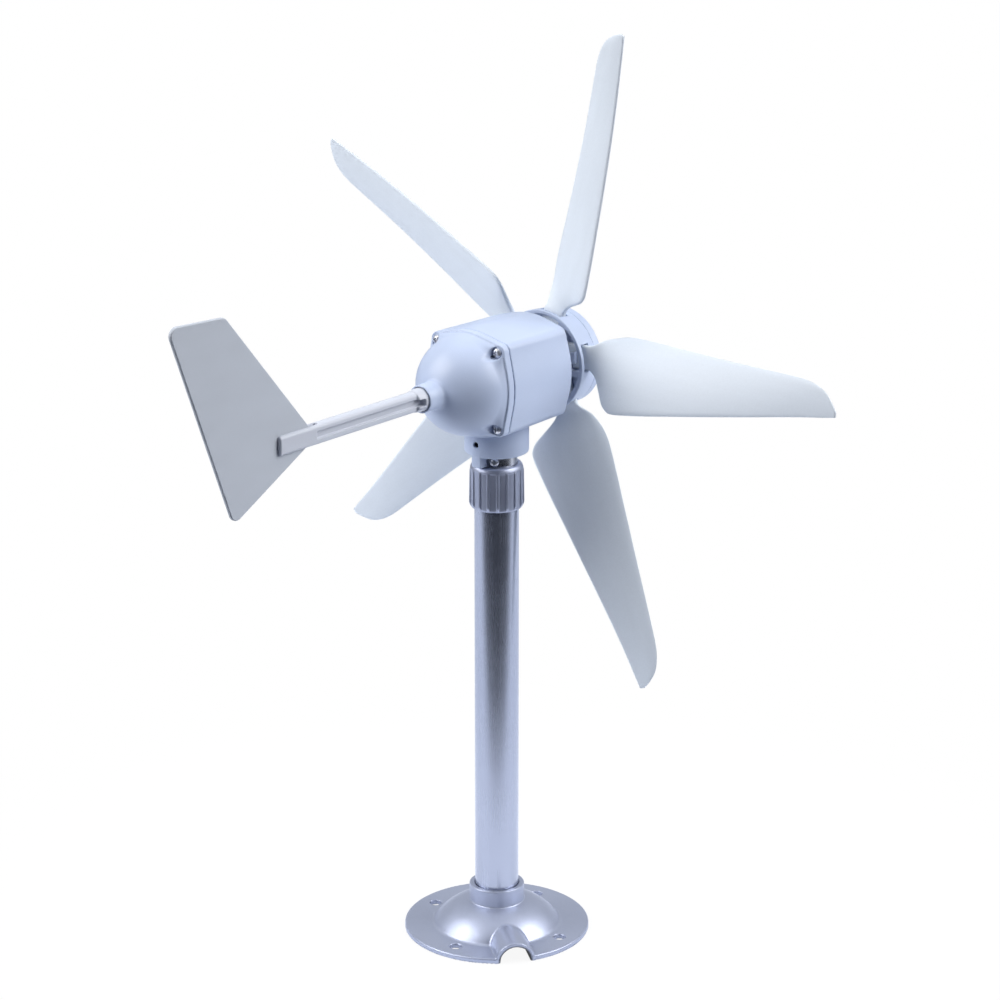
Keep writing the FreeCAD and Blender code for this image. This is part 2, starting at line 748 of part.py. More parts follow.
def make_stator():
    body = doc.addObject("PartDesign::Body", "stator")
    yoke_sketch = new_sketch(body, "YZ_Plane", "yoke_outline")
    draw_circle(yoke_sketch, "0", "0", "body_bore - 0.1")
    draw_circle(yoke_sketch, "0", "0", "body_bore - 6")
    yoke = body.newObject("PartDesign::Pad", "yoke")
    yoke.Profile = yoke_sketch
    yoke.Midplane = True
    bind(yoke, {"Length": STATOR_HALF + " * 2"})
    tooth_sketch = new_sketch(body, "YZ_Plane", "tooth_outline")
    half = TOOTH_WIDE / 2
    shoe = TOOTH_WIDE * 0.82
    draw_outline(tooth_sketch, [
        ("-%s" % shoe, "19.6"), ("%s" % shoe, "19.6"), ("%s" % shoe, "20.8"), ("%s" % half, "21.6"),
        ("%s" % half, "body_bore - 5"), ("-%s" % half, "body_bore - 5"), ("-%s" % half, "21.6"),
        ("-%s" % shoe, "20.8")])
    tooth = body.newObject("PartDesign::Pad", "tooth")
    tooth.Profile = tooth_sketch
    tooth.Midplane = True
    bind(tooth, {"Length": STATOR_HALF + " * 2"})
    doc.recompute()
    teeth = body.newObject("PartDesign::PolarPattern", "teeth")
    teeth.Originals = [tooth]
    teeth.Axis = (yoke_sketch, ["N_Axis"])
    teeth.Angle = 360
    teeth.Occurrences = TOOTH_COUNT
    body.Tip = teeth
    doc.recompute()
    keep("stator_core", on_axis(body))


COIL_LONG = "35"
COIL_WIDE = "13"
COIL_TALL = "3.9"
COIL_LOW = "22"
COIL_GAP = "0.1"
COIL_CORNER = 2.0


def make_coils():
    """A flat winding round each tooth, its window a little larger than the tooth."""
    outer = box("coil_outer", COIL_LONG, COIL_WIDE, COIL_TALL, x="-" + COIL_LONG + " / 2",
                y="-" + COIL_WIDE + " / 2", z=COIL_LOW)
    window_long = "(%s + %s)" % (STATOR_HALF, COIL_GAP)
    window_half = "(%s + %s)" % (TOOTH_WIDE / 2, COIL_GAP)
    inner = box("coil_inner", window_long + " * 2", window_half + " * 2", COIL_TALL + " * 2",
                x="-" + window_long, y="-" + window_half, z=COIL_LOW + " - 2")
    doc.recompute()
    rounded = doc.addObject("Part::Fillet", "coil_rounded")
    rounded.Base = outer
    upright = [number for number, edge in enumerate(outer.Shape.Edges, start=1)
               if abs(edge.tangentAt(edge.FirstParameter).z) > 0.99]
    rounded.Edges = [(number, COIL_CORNER, COIL_CORNER) for number in upright]
    coil = cut_all("coil", rounded, [inner])
    lift = Placement(Vector(0, 0, size("axis_height")), Rotation())
    copies("stator_coils", coil,
           [lift.multiply(rotated(X_AXIS, 360.0 * index / TOOTH_COUNT))
            for index in range(TOOTH_COUNT)])


REAR_BEARING = "-25.5"
FRONT_BEARING = "29"


def make_plates():
    rear_end = REAR_BEARING + " + bearing_wide"
    keep("rear_bearing_plate", on_axis(turned("rear_plate", "X", [
        (REAR_BEARING + " - 0.5", "8.5"), (REAR_BEARING + " - 0.5", "15.5"),
        ("-23", "15.5"), ("-23", "body_bore - 0.1"), ("-19.5", "body_bore - 0.1"), ("-19.5", "15.5"),
        (rear_end, "15.5"), (rear_end, "bearing_outer"), (REAR_BEARING, "bearing_outer"),
        (REAR_BEARING, "8.5")])))
    front_end = FRONT_BEARING + " + bearing_wide"
    plate = on_axis(turned("front_plate", "X", [
        (FRONT_BEARING, "bearing_outer"), (FRONT_BEARING, "15.5"), ("body_front - 5", "15.5"),
        ("body_front - 5", "body_bore + 1.9"), ("body_front - 1.6", "body_bore + 1.9"),
        ("body_front - 1.6", "17"), (front_end + " + 1.2", "15.5"), (front_end + " + 1.2", "8.5"),
        (front_end, "8.5"), (front_end, "bearing_outer")]))
    holes = []
    for angle in PLATE_SCREWS:
        y, z = plate_screw_spot(angle)
        holes.append(along_x("plate_hole_%d" % angle, "1.6", "8", x="body_front - 7",
                             y="%.6f" % y, z="axis_height + %.6f" % z))
    keep("front_bearing_plate", cut_all("front_plate_cut", plate, holes))
    master = pan_screw("plate_screw_master", "1.2", "2.6", "1.5", "8.5")
    places = []
    for angle in PLATE_SCREWS:
        y, z = plate_screw_spot(angle)
        spot = Vector(size("body_front - 1.6"), y, size("axis_height") + z)
        places.append(Placement(spot, Rotation(Y_AXIS, 90)))
    copies("plate_screws", master, places)


BALL_CIRCLE = "7.5"
BALL_RADIUS = "1.95"
BALL_COUNT = 7


def make_bearing(side, start):
    """A deep-groove ball bearing: outer ring on the head, inner ring and balls on the rotor."""
    end = start + " + bearing_wide"
    middle = start + " + bearing_wide / 2"
    groove = BALL_RADIUS + " + 0.06"
    outer_land = BALL_CIRCLE + " + 1.3"
    inner_land = BALL_CIRCLE + " - 1.3"
    # The race is an arc a little larger than the ball, centred on the ball circle.
    spread = "sqrt((%s) * (%s) - 1.69)" % (groove, groove)
    outer = turned(side + "_outer", "X", [
        (start, outer_land), ("%s - %s" % (middle, spread), outer_land, "-(%s)" % groove),
        ("%s + %s" % (middle, spread), outer_land), (end, outer_land),
        (end, "bearing_outer"), (start, "bearing_outer")])
    inner = turned(side + "_inner", "X", [
        (start, "shaft_radius + 0.01"), (end, "shaft_radius + 0.01"), (end, inner_land),
        ("%s + %s" % (middle, spread), inner_land, "-(%s)" % groove),
        ("%s - %s" % (middle, spread), inner_land), (start, inner_land)])
    keep(side + "_bearing_outer", on_axis(outer))
    keep(side + "_bearing_inner", on_axis(inner))
    ball = doc.addObject("Part::Sphere", side + "_ball")
    bind(ball, {"Radius": BALL_RADIUS})
    spot = Placement(Vector(size(middle), 0, size(BALL_CIRCLE)), Rotation())
    lift = Placement(Vector(0, 0, size("axis_height")), Rotation())
    copies(side + "_bearing_balls", ball,
           [lift.multiply(rotated(X_AXIS, 360.0 * index / BALL_COUNT)).multiply(spot)
            for index in range(BALL_COUNT)])


def make_head():
    make_nacelle()
    make_bushes()
    make_grub_screw()
    make_gasket()
    make_cap()
    make_cap_screws()
    make_boom()
    make_boom_fixings()
    make_fin()
    make_stator()
    make_coils()
    make_plates()
    make_bearing("rear", REAR_BEARING)
    make_bearing("front", FRONT_BEARING)


# ---------------------------------------------------------------- rotor

BLADES = 5
FOOT_SHIFT = -5.0
FOOT_HALF = 9.0
HUB_SCREW_RADII = (16.0, 24.0)
WEB_REAR = "53.2"
WEB_FRONT = "blade_plane - foot_plate / 2"
PLATE_REAR = "blade_plane + foot_plate / 2"
PLATE_FLOOR = "66"
# The opening in the hub's rim that each blade's root passes through, from the blade's own centre.
SLOT_REAR = -4.4
SLOT_LONG = 9.6
SLOT_GAP = 0.6
SLOT_LOW = 28.0
SLOT_TALL = 16.0

# Blade stations: radius, leading edge, trailing edge, twist in degrees, thickness, camber.
# Edges are measured along the chord from the blade's radial line, the trailing edge positive.
STATIONS = (
    (35.0, -14.0, 4.0, 0.0, 4.6, 0.0),
    (39.0, -14.6, 4.4, 9.0, 4.5, 0.1),
    (43.0, -17.6, 7.0, 18.0, 4.2, 0.3),
    (47.0, -20.4, 11.4, 24.0, 3.9, 0.8),
    (52.0, -22.6, 18.6, 27.5, 3.6, 1.3),
    (58.0, -24.8, 26.8, 29.0, 3.4, 1.8),
    (66.0, -26.4, 30.8, 29.0, 3.3, 2.2),
    (80.0, -26.8, 29.0, 28.5, 3.1, 2.4),
    (120.0, -26.0, 21.2, 26.2, 2.8, 2.0),
    (170.0, -25.4, 11.0, 21.0, 2.4, 1.4),
    (215.0, -25.6, 1.8, 13.5, 2.1, 0.8),
    (230.0, -23.8, -1.0, 10.5, 1.9, 0.5),
    (239.0, -19.8, -2.6, 9.0, 1.8, 0.3),
    (245.0, -13.8, -3.8, 8.0, 1.7, 0.15),
    (248.3, -9.0, -4.4, 7.5, 1.6, 0.0),
)
SECTION_STEPS = 7
# Each vane leans a little in the rotor's plane, in degrees: its thin neck bends at this radius.
BLADE_LEANS = (0.0, 2.9, 0.9, 0.5, -1.0)
NECK_RADIUS = 34.0


def blade_section(radius, leading, trailing, twist, thick, camber):
    """Closed wire of one section. The blade points up, and its hollow side faces +X."""
    turn = math.radians(twist)
    chord = trailing - leading
    upper, lower = [], []
    for step in range(SECTION_STEPS + 1):
        along = 0.5 - 0.5 * math.cos(math.pi * step / SECTION_STEPS)
        full = math.sqrt(along) * (1.0 - 0.55 * along) * 1.62
        half = 0.5 * thick * full + 0.22 * min(1.0, along * 12)
        bow = 4 * camber * along * (1 - along)
        across = leading + chord * along
        for line, offset in ((upper, -bow - half), (lower, -bow + half)):
            tangent = across * math.cos(turn) + offset * math.sin(turn)
            axial = -across * math.sin(turn) + offset * math.cos(turn)
            line.append(Vector(axial, -tangent, radius))
    back = Part.BSplineCurve()
    back.interpolate(upper)
    front = Part.BSplineCurve()
    front.interpolate(list(reversed(lower)))
    tail = Part.LineSegment(upper[-1], lower[-1])
    return Part.Wire([back.toShape(), tail.toShape(), front.toShape()])


def blade_shape(lean):
    vane = Part.makeLoft([blade_section(*station) for station in STATIONS], True, False)
    vane.rotate(Vector(0, 0, NECK_RADIUS), X_AXIS, lean)
    foot = Part.makeBox(size("foot_plate") - 0.1, FOOT_HALF * 2, 24,
                        Vector(-size("foot_plate") / 2 + 0.05, -FOOT_SHIFT - FOOT_HALF, 12.5))
    blade = vane.fuse(foot)
    for radius in HUB_SCREW_RADII:
        blade = blade.cut(Part.makeCylinder(1.75, 20, Vector(-10, -FOOT_SHIFT, radius), X_AXIS))
    return blade.removeSplitter()


def blade_angle(index):
    """Turn about +X that carries an upright blade to its place in the hub."""
    return -size("blade_turn") + 360.0 * index / BLADES


def make_blades():
    for index, lean in enumerate(BLADE_LEANS):
        blade = doc.addObject("Part::Feature", "blade_%d" % (index + 1))
        blade.Shape = blade_shape(lean)
        blade.Placement = Placement(Vector(size("blade_plane"), 0, size("axis_height")),
                                    Rotation(X_AXIS, blade_angle(index)))
        keep("blade_%d" % (index + 1), blade)


def around_hub(index, radius, shift=0.0):
    """Y and Z, from the rotor's axis, of a spot on blade index's foot."""
    spot = Rotation(X_AXIS, blade_angle(index)).multVec(Vector(0, -shift, radius))
    return spot.y, spot.z


def hub_screw_holes(name, radius, low, length):
    holes = []
    for index in range(BLADES):
        for ring_radius in HUB_SCREW_RADII:
            y, z = around_hub(index, ring_radius, FOOT_SHIFT)
            holes.append(along_x("%s_%d_%d" % (name, index, int(ring_radius)), radius, length,
                                 x=low, y="%.6f" % y, z="axis_height + %.6f" % z))
    return holes


WINDOW_OUTER = "31.5"
WINDOW_INNER = "22"
WINDOW_ANGLE = 34.0
WINDOW_TALL = "20"
SIGHT_RADIUS = "3"
SIGHT_CIRCLE = 26.0
SIGHT_SHIFT = 2.0


def window_tool(index):
    """A kidney-shaped opening in the hub's back web, midway between two blades."""
    sector = doc.addObject("Part::Cylinder", "window_%d" % index)
    bind(sector, {"Radius": WINDOW_OUTER, "Height": WINDOW_TALL})
    sector.Angle = WINDOW_ANGLE
    core = doc.addObject("Part::Cylinder", "window_core_%d" % index)
    bind(core, {"Radius": WINDOW_INNER, "Height": WINDOW_TALL})
    opening = doc.addObject("Part::Cut", "window_cut_%d" % index)
    opening.Base = sector
    opening.Tool = core
    middle = blade_angle(index) + 180.0 / BLADES
    lay_down = Placement(Vector(), Rotation(Y_AXIS, 90))
    centre = Placement(Vector(), Rotation(Z_AXIS, 180.0 - WINDOW_ANGLE / 2))
    spin = rotated(X_AXIS, middle)
    place = Placement(Vector(size("hub_rear") - 5, 0, size("axis_height")), Rotation())
    opening.Placement = place.multiply(spin).multiply(lay_down).multiply(centre)
    return opening


def make_hub():
    cup = on_axis(turned("hub_cup", "X", [
        ("40.5", "shaft_radius + 0.01"),
        ("40.5", "9"),
        (WEB_REAR, "11"),
        (WEB_REAR, "33"),
        ("hub_rear", "34.6"),
        ("hub_rear", "hub_rear_radius - 0.6"),
        ("hub_rear + 0.6", "hub_rear_radius"),
        ("hub_part", "hub_front_radius + 0.3"),
        ("hub_part", "32.3"),
        (WEB_FRONT, "32.3"),
        (WEB_FRONT, "shaft_radius + 0.01"),
    ]))
    cuts = hub_screw_holes("hub_tap", "1.75", "50", "12")
    for index in range(BLADES):
        cuts.append(window_tool(index))
        y, z = around_hub(index, SIGHT_CIRCLE, SIGHT_SHIFT)
        cuts.append(along_x("sight_hole_%d" % index, SIGHT_RADIUS, "12", x="hub_rear - 1",
                            y="%.6f" % y, z="axis_height + %.6f" % z))
        slot = doc.addObject("Part::Box", "blade_slot_%d" % index)
        slot.Length = SLOT_LONG
        slot.Width = (FOOT_HALF + SLOT_GAP) * 2
        slot.Height = SLOT_TALL
        corner = Placement(Vector(SLOT_REAR, -FOOT_SHIFT - FOOT_HALF - SLOT_GAP, SLOT_LOW), Rotation())
        hub_place = Placement(Vector(size("blade_plane"), 0, size("axis_height")),
                              Rotation(X_AXIS, blade_angle(index)))
        slot.Placement = hub_place.multiply(corner)
        cuts.append(slot)
    keep("hub", cut_all("hub_cut", cup, cuts))


def make_front_plate():
    plate = on_axis(turned("front_dish", "X", [
        (PLATE_REAR, "shaft_radius + 0.1"),
        (PLATE_REAR, "32.1"),
        ("hub_part + 0.1", "32.1"),
        ("hub_part + 0.1", "hub_front_radius"),
        ("hub_front - 2", "hub_front_radius", "-2"),
        ("hub_front", "hub_front_radius - 2"),
        ("hub_front", "hub_front_radius - 3.4"),
        (PLATE_FLOOR + " + 1", "hub_front_radius - 6"),
        (PLATE_FLOOR, "hub_front_radius - 7"),
        (PLATE_FLOOR, "shaft_radius + 0.1"),
    ]))
    keep("hub_front_plate", cut_all("front_dish_cut", plate,
                                    hub_screw_holes("dish_hole", "1.85", "60", "12")))


def make_hub_screws():
    master = pan_screw("hub_screw_master", "1.7", "3.4", "2.4", "12.2")
    places = []
    for index in range(BLADES):
        for ring_radius in HUB_SCREW_RADII:
            y, z = around_hub(index, ring_radius, FOOT_SHIFT)
            places.append(Placement(Vector(size(PLATE_FLOOR), y, size("axis_height") + z),
                                    Rotation(Y_AXIS, 90)))
    copies("hub_screws", master, places)


def make_shaft():
    keep("rotor_shaft", on_axis(turned("shaft", "X", [
        ("-29", "0"),
        ("-29", "shaft_radius - 0.5"),
        ("-28.5", "shaft_radius"),
        ("-27.3", "shaft_radius"),
        ("-27.3", "shaft_radius - 0.5"),
        ("-26.2", "shaft_radius - 0.5"),
        ("-26.2", "shaft_radius"),
        (REAR_BEARING + " + bearing_wide", "shaft_radius"),
        (REAR_BEARING + " + bearing_wide", "shaft_radius + 1.5"),
        (FRONT_BEARING, "shaft_radius + 1.5"),
        (FRONT_BEARING, "shaft_radius"),
        ("77.5", "shaft_radius"),
        ("78.5", "shaft_radius - 1"),
        ("78.5", "0"),
    ])))
    keep("shaft_circlip", on_axis(snap_ring("shaft_ring", "X", "shaft_radius - 0.45",
                                            "shaft_radius + 2.2", "-27.25", "-26.25", "2.4")))


def make_magnets():
    keep("magnet_core", on_axis(ring("core", "X", "shaft_radius + 1.52", "14.5",
                                     "-" + STATOR_HALF, STATOR_HALF)))
    sector = doc.addObject("Part::Cylinder", "magnet_sector")
    bind(sector, {"Radius": "18.6", "Height": STATOR_HALF + " * 2 - 2"})
    sector.Angle = 39
    inside = doc.addObject("Part::Cylinder", "magnet_inside")
    bind(inside, {"Radius": "14.52", "Height": STATOR_HALF + " * 2"})
    magnet = doc.addObject("Part::Cut", "magnet")
    magnet.Base = sector
    magnet.Tool = inside
    lay_down = Placement(Vector(size("1 - " + STATOR_HALF), 0, 0), Rotation(Y_AXIS, 90))
    lift = Placement(Vector(0, 0, size("axis_height")), Rotation())
    copies("rotor_magnets", magnet,
           [lift.multiply(rotated(X_AXIS, 360.0 * index / POLE_COUNT)).multiply(lay_down)
            for index in range(POLE_COUNT)])


def make_nose():
    keep("hub_washer", on_axis(ring("front_washer", "X", "shaft_radius + 0.1", "7.6",
                                    PLATE_FLOOR, PLATE_FLOOR + " + 1.2")))
    blank = doc.addObject("Part::Prism", "hub_nut_blank")
    blank.Polygon = 6
    blank.Circumradius = 7.4
    blank.Height = 6.3
    blank.Placement = Placement(Vector(), Rotation(Y_AXIS, 90))
    bind(blank, {"Placement.Base.x": PLATE_FLOOR + " + 1.2", "Placement.Base.z": "axis_height"})
    bore = along_x("hub_nut_bore", "shaft_radius + 0.02", "30", x="60", z="axis_height")
    keep("hub_nut", cut_all("hub_nut_solid", blank, [bore]))
    keep("nose_cap", on_axis(turned("nose", "X", [
        (PLATE_FLOOR, "9.2"),
        (PLATE_FLOOR, "11.6"),
        ("hub_front + 1", "11.2", "-9"),
        ("hub_front + 8", "4"),
        ("hub_front + 8", "0"),
        ("hub_front + 6", "0"),
        ("hub_front + 6", "4"),
        ("hub_front + 1", "9.2"),
    ])))


def make_rotor():
    make_shaft()
    make_magnets()
    make_hub()
    make_blades()
    make_front_plate()
    make_hub_screws()
    make_nose()


# ---------------------------------------------------------------- build and write

def check_and_write():
    doc.recompute()
    for thing in doc.Objects:
        if "Invalid" in thing.State or "Error" in thing.State:
            raise ValueError("%s failed: %s" % (thing.Name, thing.State))
    os.makedirs("parts", exist_ok=True)
    for label, thing in parts.items():
        shape = thing.Shape
        if shape.isNull() or not shape.isValid() or not shape.Solids:
            raise ValueError("%s has no valid solid" % label)
        shape.exportStep("parts/%s.step" % label)
        print("%-22s %3d solid(s)  %10.1f mm3" % (label, len(shape.Solids), shape.Volume))
    print(len(parts), "nodes")


make_mast()
make_head()
make_rotor()
check_and_write()
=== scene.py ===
"""Looks for the small wind turbine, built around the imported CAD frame.

The frame holds the CAD pieces in metres, and their boxes give the places here. Castings are
drawn again as rounded solids, each a signed distance field in millimetres whose zero surface
becomes a mesh. The fin and the blades are lofts. All other pieces show as packed.
"""

import json
import math

import bpy
import numpy as np
from mathutils import Matrix, Vector

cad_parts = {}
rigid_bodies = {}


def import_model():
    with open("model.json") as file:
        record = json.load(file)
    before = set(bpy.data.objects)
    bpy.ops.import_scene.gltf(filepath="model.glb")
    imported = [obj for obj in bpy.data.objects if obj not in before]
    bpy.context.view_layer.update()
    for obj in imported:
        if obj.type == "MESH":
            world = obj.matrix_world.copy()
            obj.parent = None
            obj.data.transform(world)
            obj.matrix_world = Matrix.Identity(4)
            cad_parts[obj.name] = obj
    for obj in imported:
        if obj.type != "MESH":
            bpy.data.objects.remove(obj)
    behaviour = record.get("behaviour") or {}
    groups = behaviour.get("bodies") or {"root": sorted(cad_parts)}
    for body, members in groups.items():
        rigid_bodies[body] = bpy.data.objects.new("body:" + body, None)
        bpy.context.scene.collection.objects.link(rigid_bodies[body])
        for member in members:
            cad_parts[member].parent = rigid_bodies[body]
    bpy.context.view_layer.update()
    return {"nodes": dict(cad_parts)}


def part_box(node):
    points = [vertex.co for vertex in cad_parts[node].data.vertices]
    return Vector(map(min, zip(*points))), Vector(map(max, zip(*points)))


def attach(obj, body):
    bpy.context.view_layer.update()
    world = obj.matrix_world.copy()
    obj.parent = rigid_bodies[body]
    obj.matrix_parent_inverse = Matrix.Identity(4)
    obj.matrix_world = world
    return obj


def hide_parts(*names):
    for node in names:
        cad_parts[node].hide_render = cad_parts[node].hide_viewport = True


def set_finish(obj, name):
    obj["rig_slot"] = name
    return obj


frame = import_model()
nodes = frame["nodes"]
scene = bpy.context.scene
MM = 0.001


def span(node, axis):
    """Lowest and highest coordinate of a CAD node along one axis, in millimetres."""
    low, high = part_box(node)
    return low["xyz".index(axis)] / MM, high["xyz".index(axis)] / MM


# ------------------------ distance fields, millimetres

# surface() takes slopes over this share of a grid step, pulls its points onto the surface this
# many times, and divides by no squared slope smaller than this.
SLOPE_SHARE, PULLS, LEAST_SLOPE = 0.02, 3, 0.05
# How deep inside a casting's skin the painted shade of its holes and hollows begins, and over what
# run it darkens fully.
SHADE_START, SHADE_FADE = 0.3, 1.2


def both(first, second, edge=0.0):
    """Where two solids overlap, with the edge between their faces rounded to a radius."""
    if edge <= 0.0:
        return np.maximum(first, second)
    reach = np.hypot(np.maximum(first + edge, 0.0), np.maximum(second + edge, 0.0))
    return np.minimum(-edge, np.maximum(first, second)) + reach


def either(first, second, fillet=0.0):
    """Two solids joined, with a fillet of a given radius in the corner between them."""
    if fillet <= 0.0:
        return np.minimum(first, second)
    reach = np.hypot(np.maximum(fillet - first, 0.0), np.maximum(fillet - second, 0.0))
    return np.maximum(fillet, np.minimum(first, second)) - reach


def without(solid, hole, edge=0.0):
    """A solid with a hole cut in it, the hole's rim rounded to a radius."""
    return both(solid, -hole, edge)


def between(value, low, high):
    """A slab between two planes."""
    return np.maximum(low - value, value - high)


def rounded_square(y, z, half, corner):
    """A square section with rounded corners."""
    across = np.abs(y) - half + corner
    up = np.abs(z) - half + corner
    outside = np.hypot(np.maximum(across, 0.0), np.maximum(up, 0.0))
    return outside + np.minimum(np.maximum(across, up), 0.0) - corner


def surface(field, low, high, step):
    """Points, quads and normals of a field's zero surface, by surface nets."""
    counts = [int(math.ceil((top - bottom) / step)) + 3 for bottom, top in zip(low, high)]
    axes = [bottom - step + step * np.arange(count) for bottom, count in zip(low, counts)]
    values = field(*np.meshgrid(*axes, indexing="ij", sparse=True))
    values = np.broadcast_to(values, counts)
    inside = values < 0.0
    cells = tuple(count - 1 for count in counts)
    corners = [(i, j, k) for i in (0, 1) for j in (0, 1) for k in (0, 1)]

    def corner(grid, shift):
        return grid[tuple(slice(s, s + n) for s, n in zip(shift, cells))]

    filled = sum(corner(inside, shift).astype(np.int8) for shift in corners)
    crossed = (filled > 0) & (filled < len(corners))
    place = np.full(cells, -1, np.int64)
    place[crossed] = np.arange(crossed.sum())
    at = np.argwhere(crossed)
    total = np.zeros((len(at), 3))
    hits = np.zeros(len(at))
    for first in corners:
        for axis in range(3):
            if first[axis]:
                continue
            second = tuple(s + (a == axis) for a, s in enumerate(first))
            a = corner(values, first)[crossed]
            b = corner(values, second)[crossed]
            cut = (a < 0.0) != (b < 0.0)
            share = np.where(cut, a / np.where(cut, a - b, 1.0), 0.0)
            spot = np.array(first, float) + np.zeros((len(at), 3))
            spot[:, axis] += share
            total += spot * cut[:, None]
            hits += cut
    points = (at + total / hits[:, None]) * step + np.array([a[0] for a in axes])
    small = step * SLOPE_SHARE

    def slope(spots):
        columns = []
        for axis in range(3):
            shift = np.zeros(3)
            shift[axis] = small
            ahead = field(*(spots + shift).T)
            behind = field(*(spots - shift).T)
            columns.append((ahead - behind) / (2.0 * small))
        return np.stack(columns, 1)

    for _ in range(PULLS):
        steep = slope(points)
        size = np.maximum((steep ** 2).sum(1), LEAST_SLOPE)
        move = field(*points.T) / size
        points -= np.clip(move, -step, step)[:, None] * steep
    quads = []
    for axis in range(3):
        before, after = [slice(None)] * 3, [slice(None)] * 3
        before[axis], after[axis] = slice(0, -1), slice(1, None)
        low_side, high_side = inside[tuple(before)], inside[tuple(after)]
        change = low_side != high_side
        spots = np.argwhere(change)
        u, v = (axis + 1) % 3, (axis + 2) % 3
        spots = spots[(spots[:, u] > 0) & (spots[:, v] > 0)
                      & (spots[:, u] < cells[u]) & (spots[:, v] < cells[v])]
        ring = []
        for du, dv in ((1, 1), (0, 1), (0, 0), (1, 0)):
            cell = spots.copy()
            cell[:, u] -= du
            cell[:, v] -= dv
            ring.append(place[tuple(cell.T)])
        faces = np.stack(ring, 1)
        outward = low_side[tuple(spots.T)]
        faces[~outward] = faces[~outward][:, ::-1]
        quads.append(faces)
    normals = slope(points)
    normals /= np.maximum(np.linalg.norm(normals, axis=1), 1e-9)[:, None]
    return points, np.concatenate(quads), normals


def new_object(name, data):
    """An object in the scene."""
    thing = bpy.data.objects.new(name, data)
    scene.collection.objects.link(thing)
    return thing


def smooth_object(name, points, faces, normals, place=None):
    """A mesh object from points and normals in millimetres, turned to its place."""
    mesh = bpy.data.meshes.new(name)
    mesh.from_pydata((np.asarray(points) * MM).tolist(), [], faces)
    mesh.shade_smooth()
    mesh.normals_split_custom_set_from_vertices(np.asarray(normals).tolist())
    if place is not None:
        mesh.transform(place)
    return new_object(name, mesh)


def solid(name, field, low, high, step, place=None, skin=None):
    """A smooth mesh object of a field. Surfaces inside the field called skin are marked, so that
    painted shade, near black, can darken them."""
    points, quads, normals = surface(field, low, high, step)
    piece = smooth_object(name, points, quads.tolist(), normals, place)
    if skin is not None:
        # Points deeper than the skin get painted shade, near black, as in holes and hollows.
        under = np.clip((-skin(*points.T) - SHADE_START) / SHADE_FADE, 0.0, 1.0)
        mark = piece.data.attributes.new("under", "FLOAT", "POINT")
        mark.data.foreach_set("value", under.astype(np.float32))
    return piece


def stand_for(piece, node, body, slot):
    """Let a piece replace a CAD node, ride on its body and take its finish."""
    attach(piece, body)
    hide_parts(node)
    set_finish(piece, slot)


def loft_faces(rings, count, flip=False):
    """Faces over rings of points, each a band further on, with a cap at each end."""
    faces = []
    for low in range(0, (rings - 1) * count, count):
        high = low + count
        for step in range(count):
            ahead = (step + 1) % count
            a, b, c, d = low + step, low + ahead, high + ahead, high + step
            faces.append((a, d, c, b) if flip else (a, b, c, d))
    first = tuple(range(count))
    last = tuple(range((rings - 1) * count, rings * count))
    return faces + ([first, last[::-1]] if flip else [first[::-1], last])


# ------------------------ places read from the frame

# How far the lower bush sits inside the boss, how far the screws' heads stand out of the cap,
# and how deep the hub's cup is. All sizes below are in millimetres too.
BUSH_INSET = 0.1
SCREW_HEAD = 2.5
HUB_DEPTH = 18.0

AXIS = sum(span("rotor_shaft", "z")) / 2
BODY_REAR, BODY_FRONT = span("nacelle_body", "x")
BODY_ROUND = span("nacelle_body", "y")[1]
BOSS_LOW = span("lower_yaw_bush", "z")[0] - BUSH_INSET
TAB_LOW = span("nacelle_body", "z")[0]
CAP_END, CAP_FRONT = span("rear_cap", "x")
SCREW_SEAT = span("cap_screws", "x")[0] + SCREW_HEAD
GRUB_HEIGHT = sum(span("boss_grub_screw", "z")) / 2
HUB_FRONT = span("hub_front_plate", "x")[1]
HUB_PART = span("hub", "x")[1]
HUB_REAR = HUB_PART - HUB_DEPTH
DISH_FLOOR = span("hub_washer", "x")[0]
FOOT_RADIUS = span("base_flange", "y")[1]
FOOT_TOP = span("base_flange", "z")[1]
POLE_RADIUS = span("pole_tube", "x")[1]
POLE_SEAT = span("pole_tube", "z")[0]
NUT_LOW, NUT_TOP = span("collar_nut", "z")
BOOM_END, STUD_END = span("tail_boom", "x")
NOSE_REAR, NOSE_FRONT = span("nose_cap", "x")


# ------------------------ castings of the head

BODY_HALF_REAR, BODY_HALF_FRONT = 33.0, 31.6
BODY_CORNER, SIDE_FILLET = 4.5, 9.0
SEAM_EDGE = 0.8
BODY_BORE = 33.0
WEB_PLACE, WEB_OPENING = 10.0, 28.0
PLATE_STEP, PLATE_DEPTH = 2.0, 5.0
BOSS_RADIUS, BOSS_BORE = 23.1, 12.6
FLANGE_BORE, FLANGE_DEPTH = 14.6, 2.1
TAB_HALF, TAB_INNER, TAB_ROOT = 4.2, 15.5, 4.0
GRUB_RADIUS = 2.1
# How far round the grub screw's hole, and how far in from the boss's face, its walls get painted
# shade.
GRUB_SHADE_REACH, GRUB_SHADE_DEPTH = 4.0, 0.3
CAP_RADIUS, CAP_WALL, CAP_HOLLOW, DOME_STOP = 36.6, 2.6, 31.5, 1.0
FLANGE_INSET, FLANGE_BACK = 0.3, 0.2
SHOULDER_INSET, SHOULDER_CORNER, SHOULDER_BACK = 0.4, 9.0, 2.2
SCREW_PLACE, SCREW_RECESS, SCREW_HOLE = 27.5, 4.2, 1.9
SOCKET_RADIUS, SOCKET_ROOT = 10.0, 20.0
STUD_HOLE = 6.1
COLLAR_RECESS, COLLAR_SEAT = 8.7, 4.0


def body_section(y, up, half, bulge):
    """The nacelle's section: a rounded square with each side swollen by a circle."""
    square = rounded_square(y, up, half, BODY_CORNER)
    return either(square, np.hypot(y, up) - bulge, SIDE_FILLET)


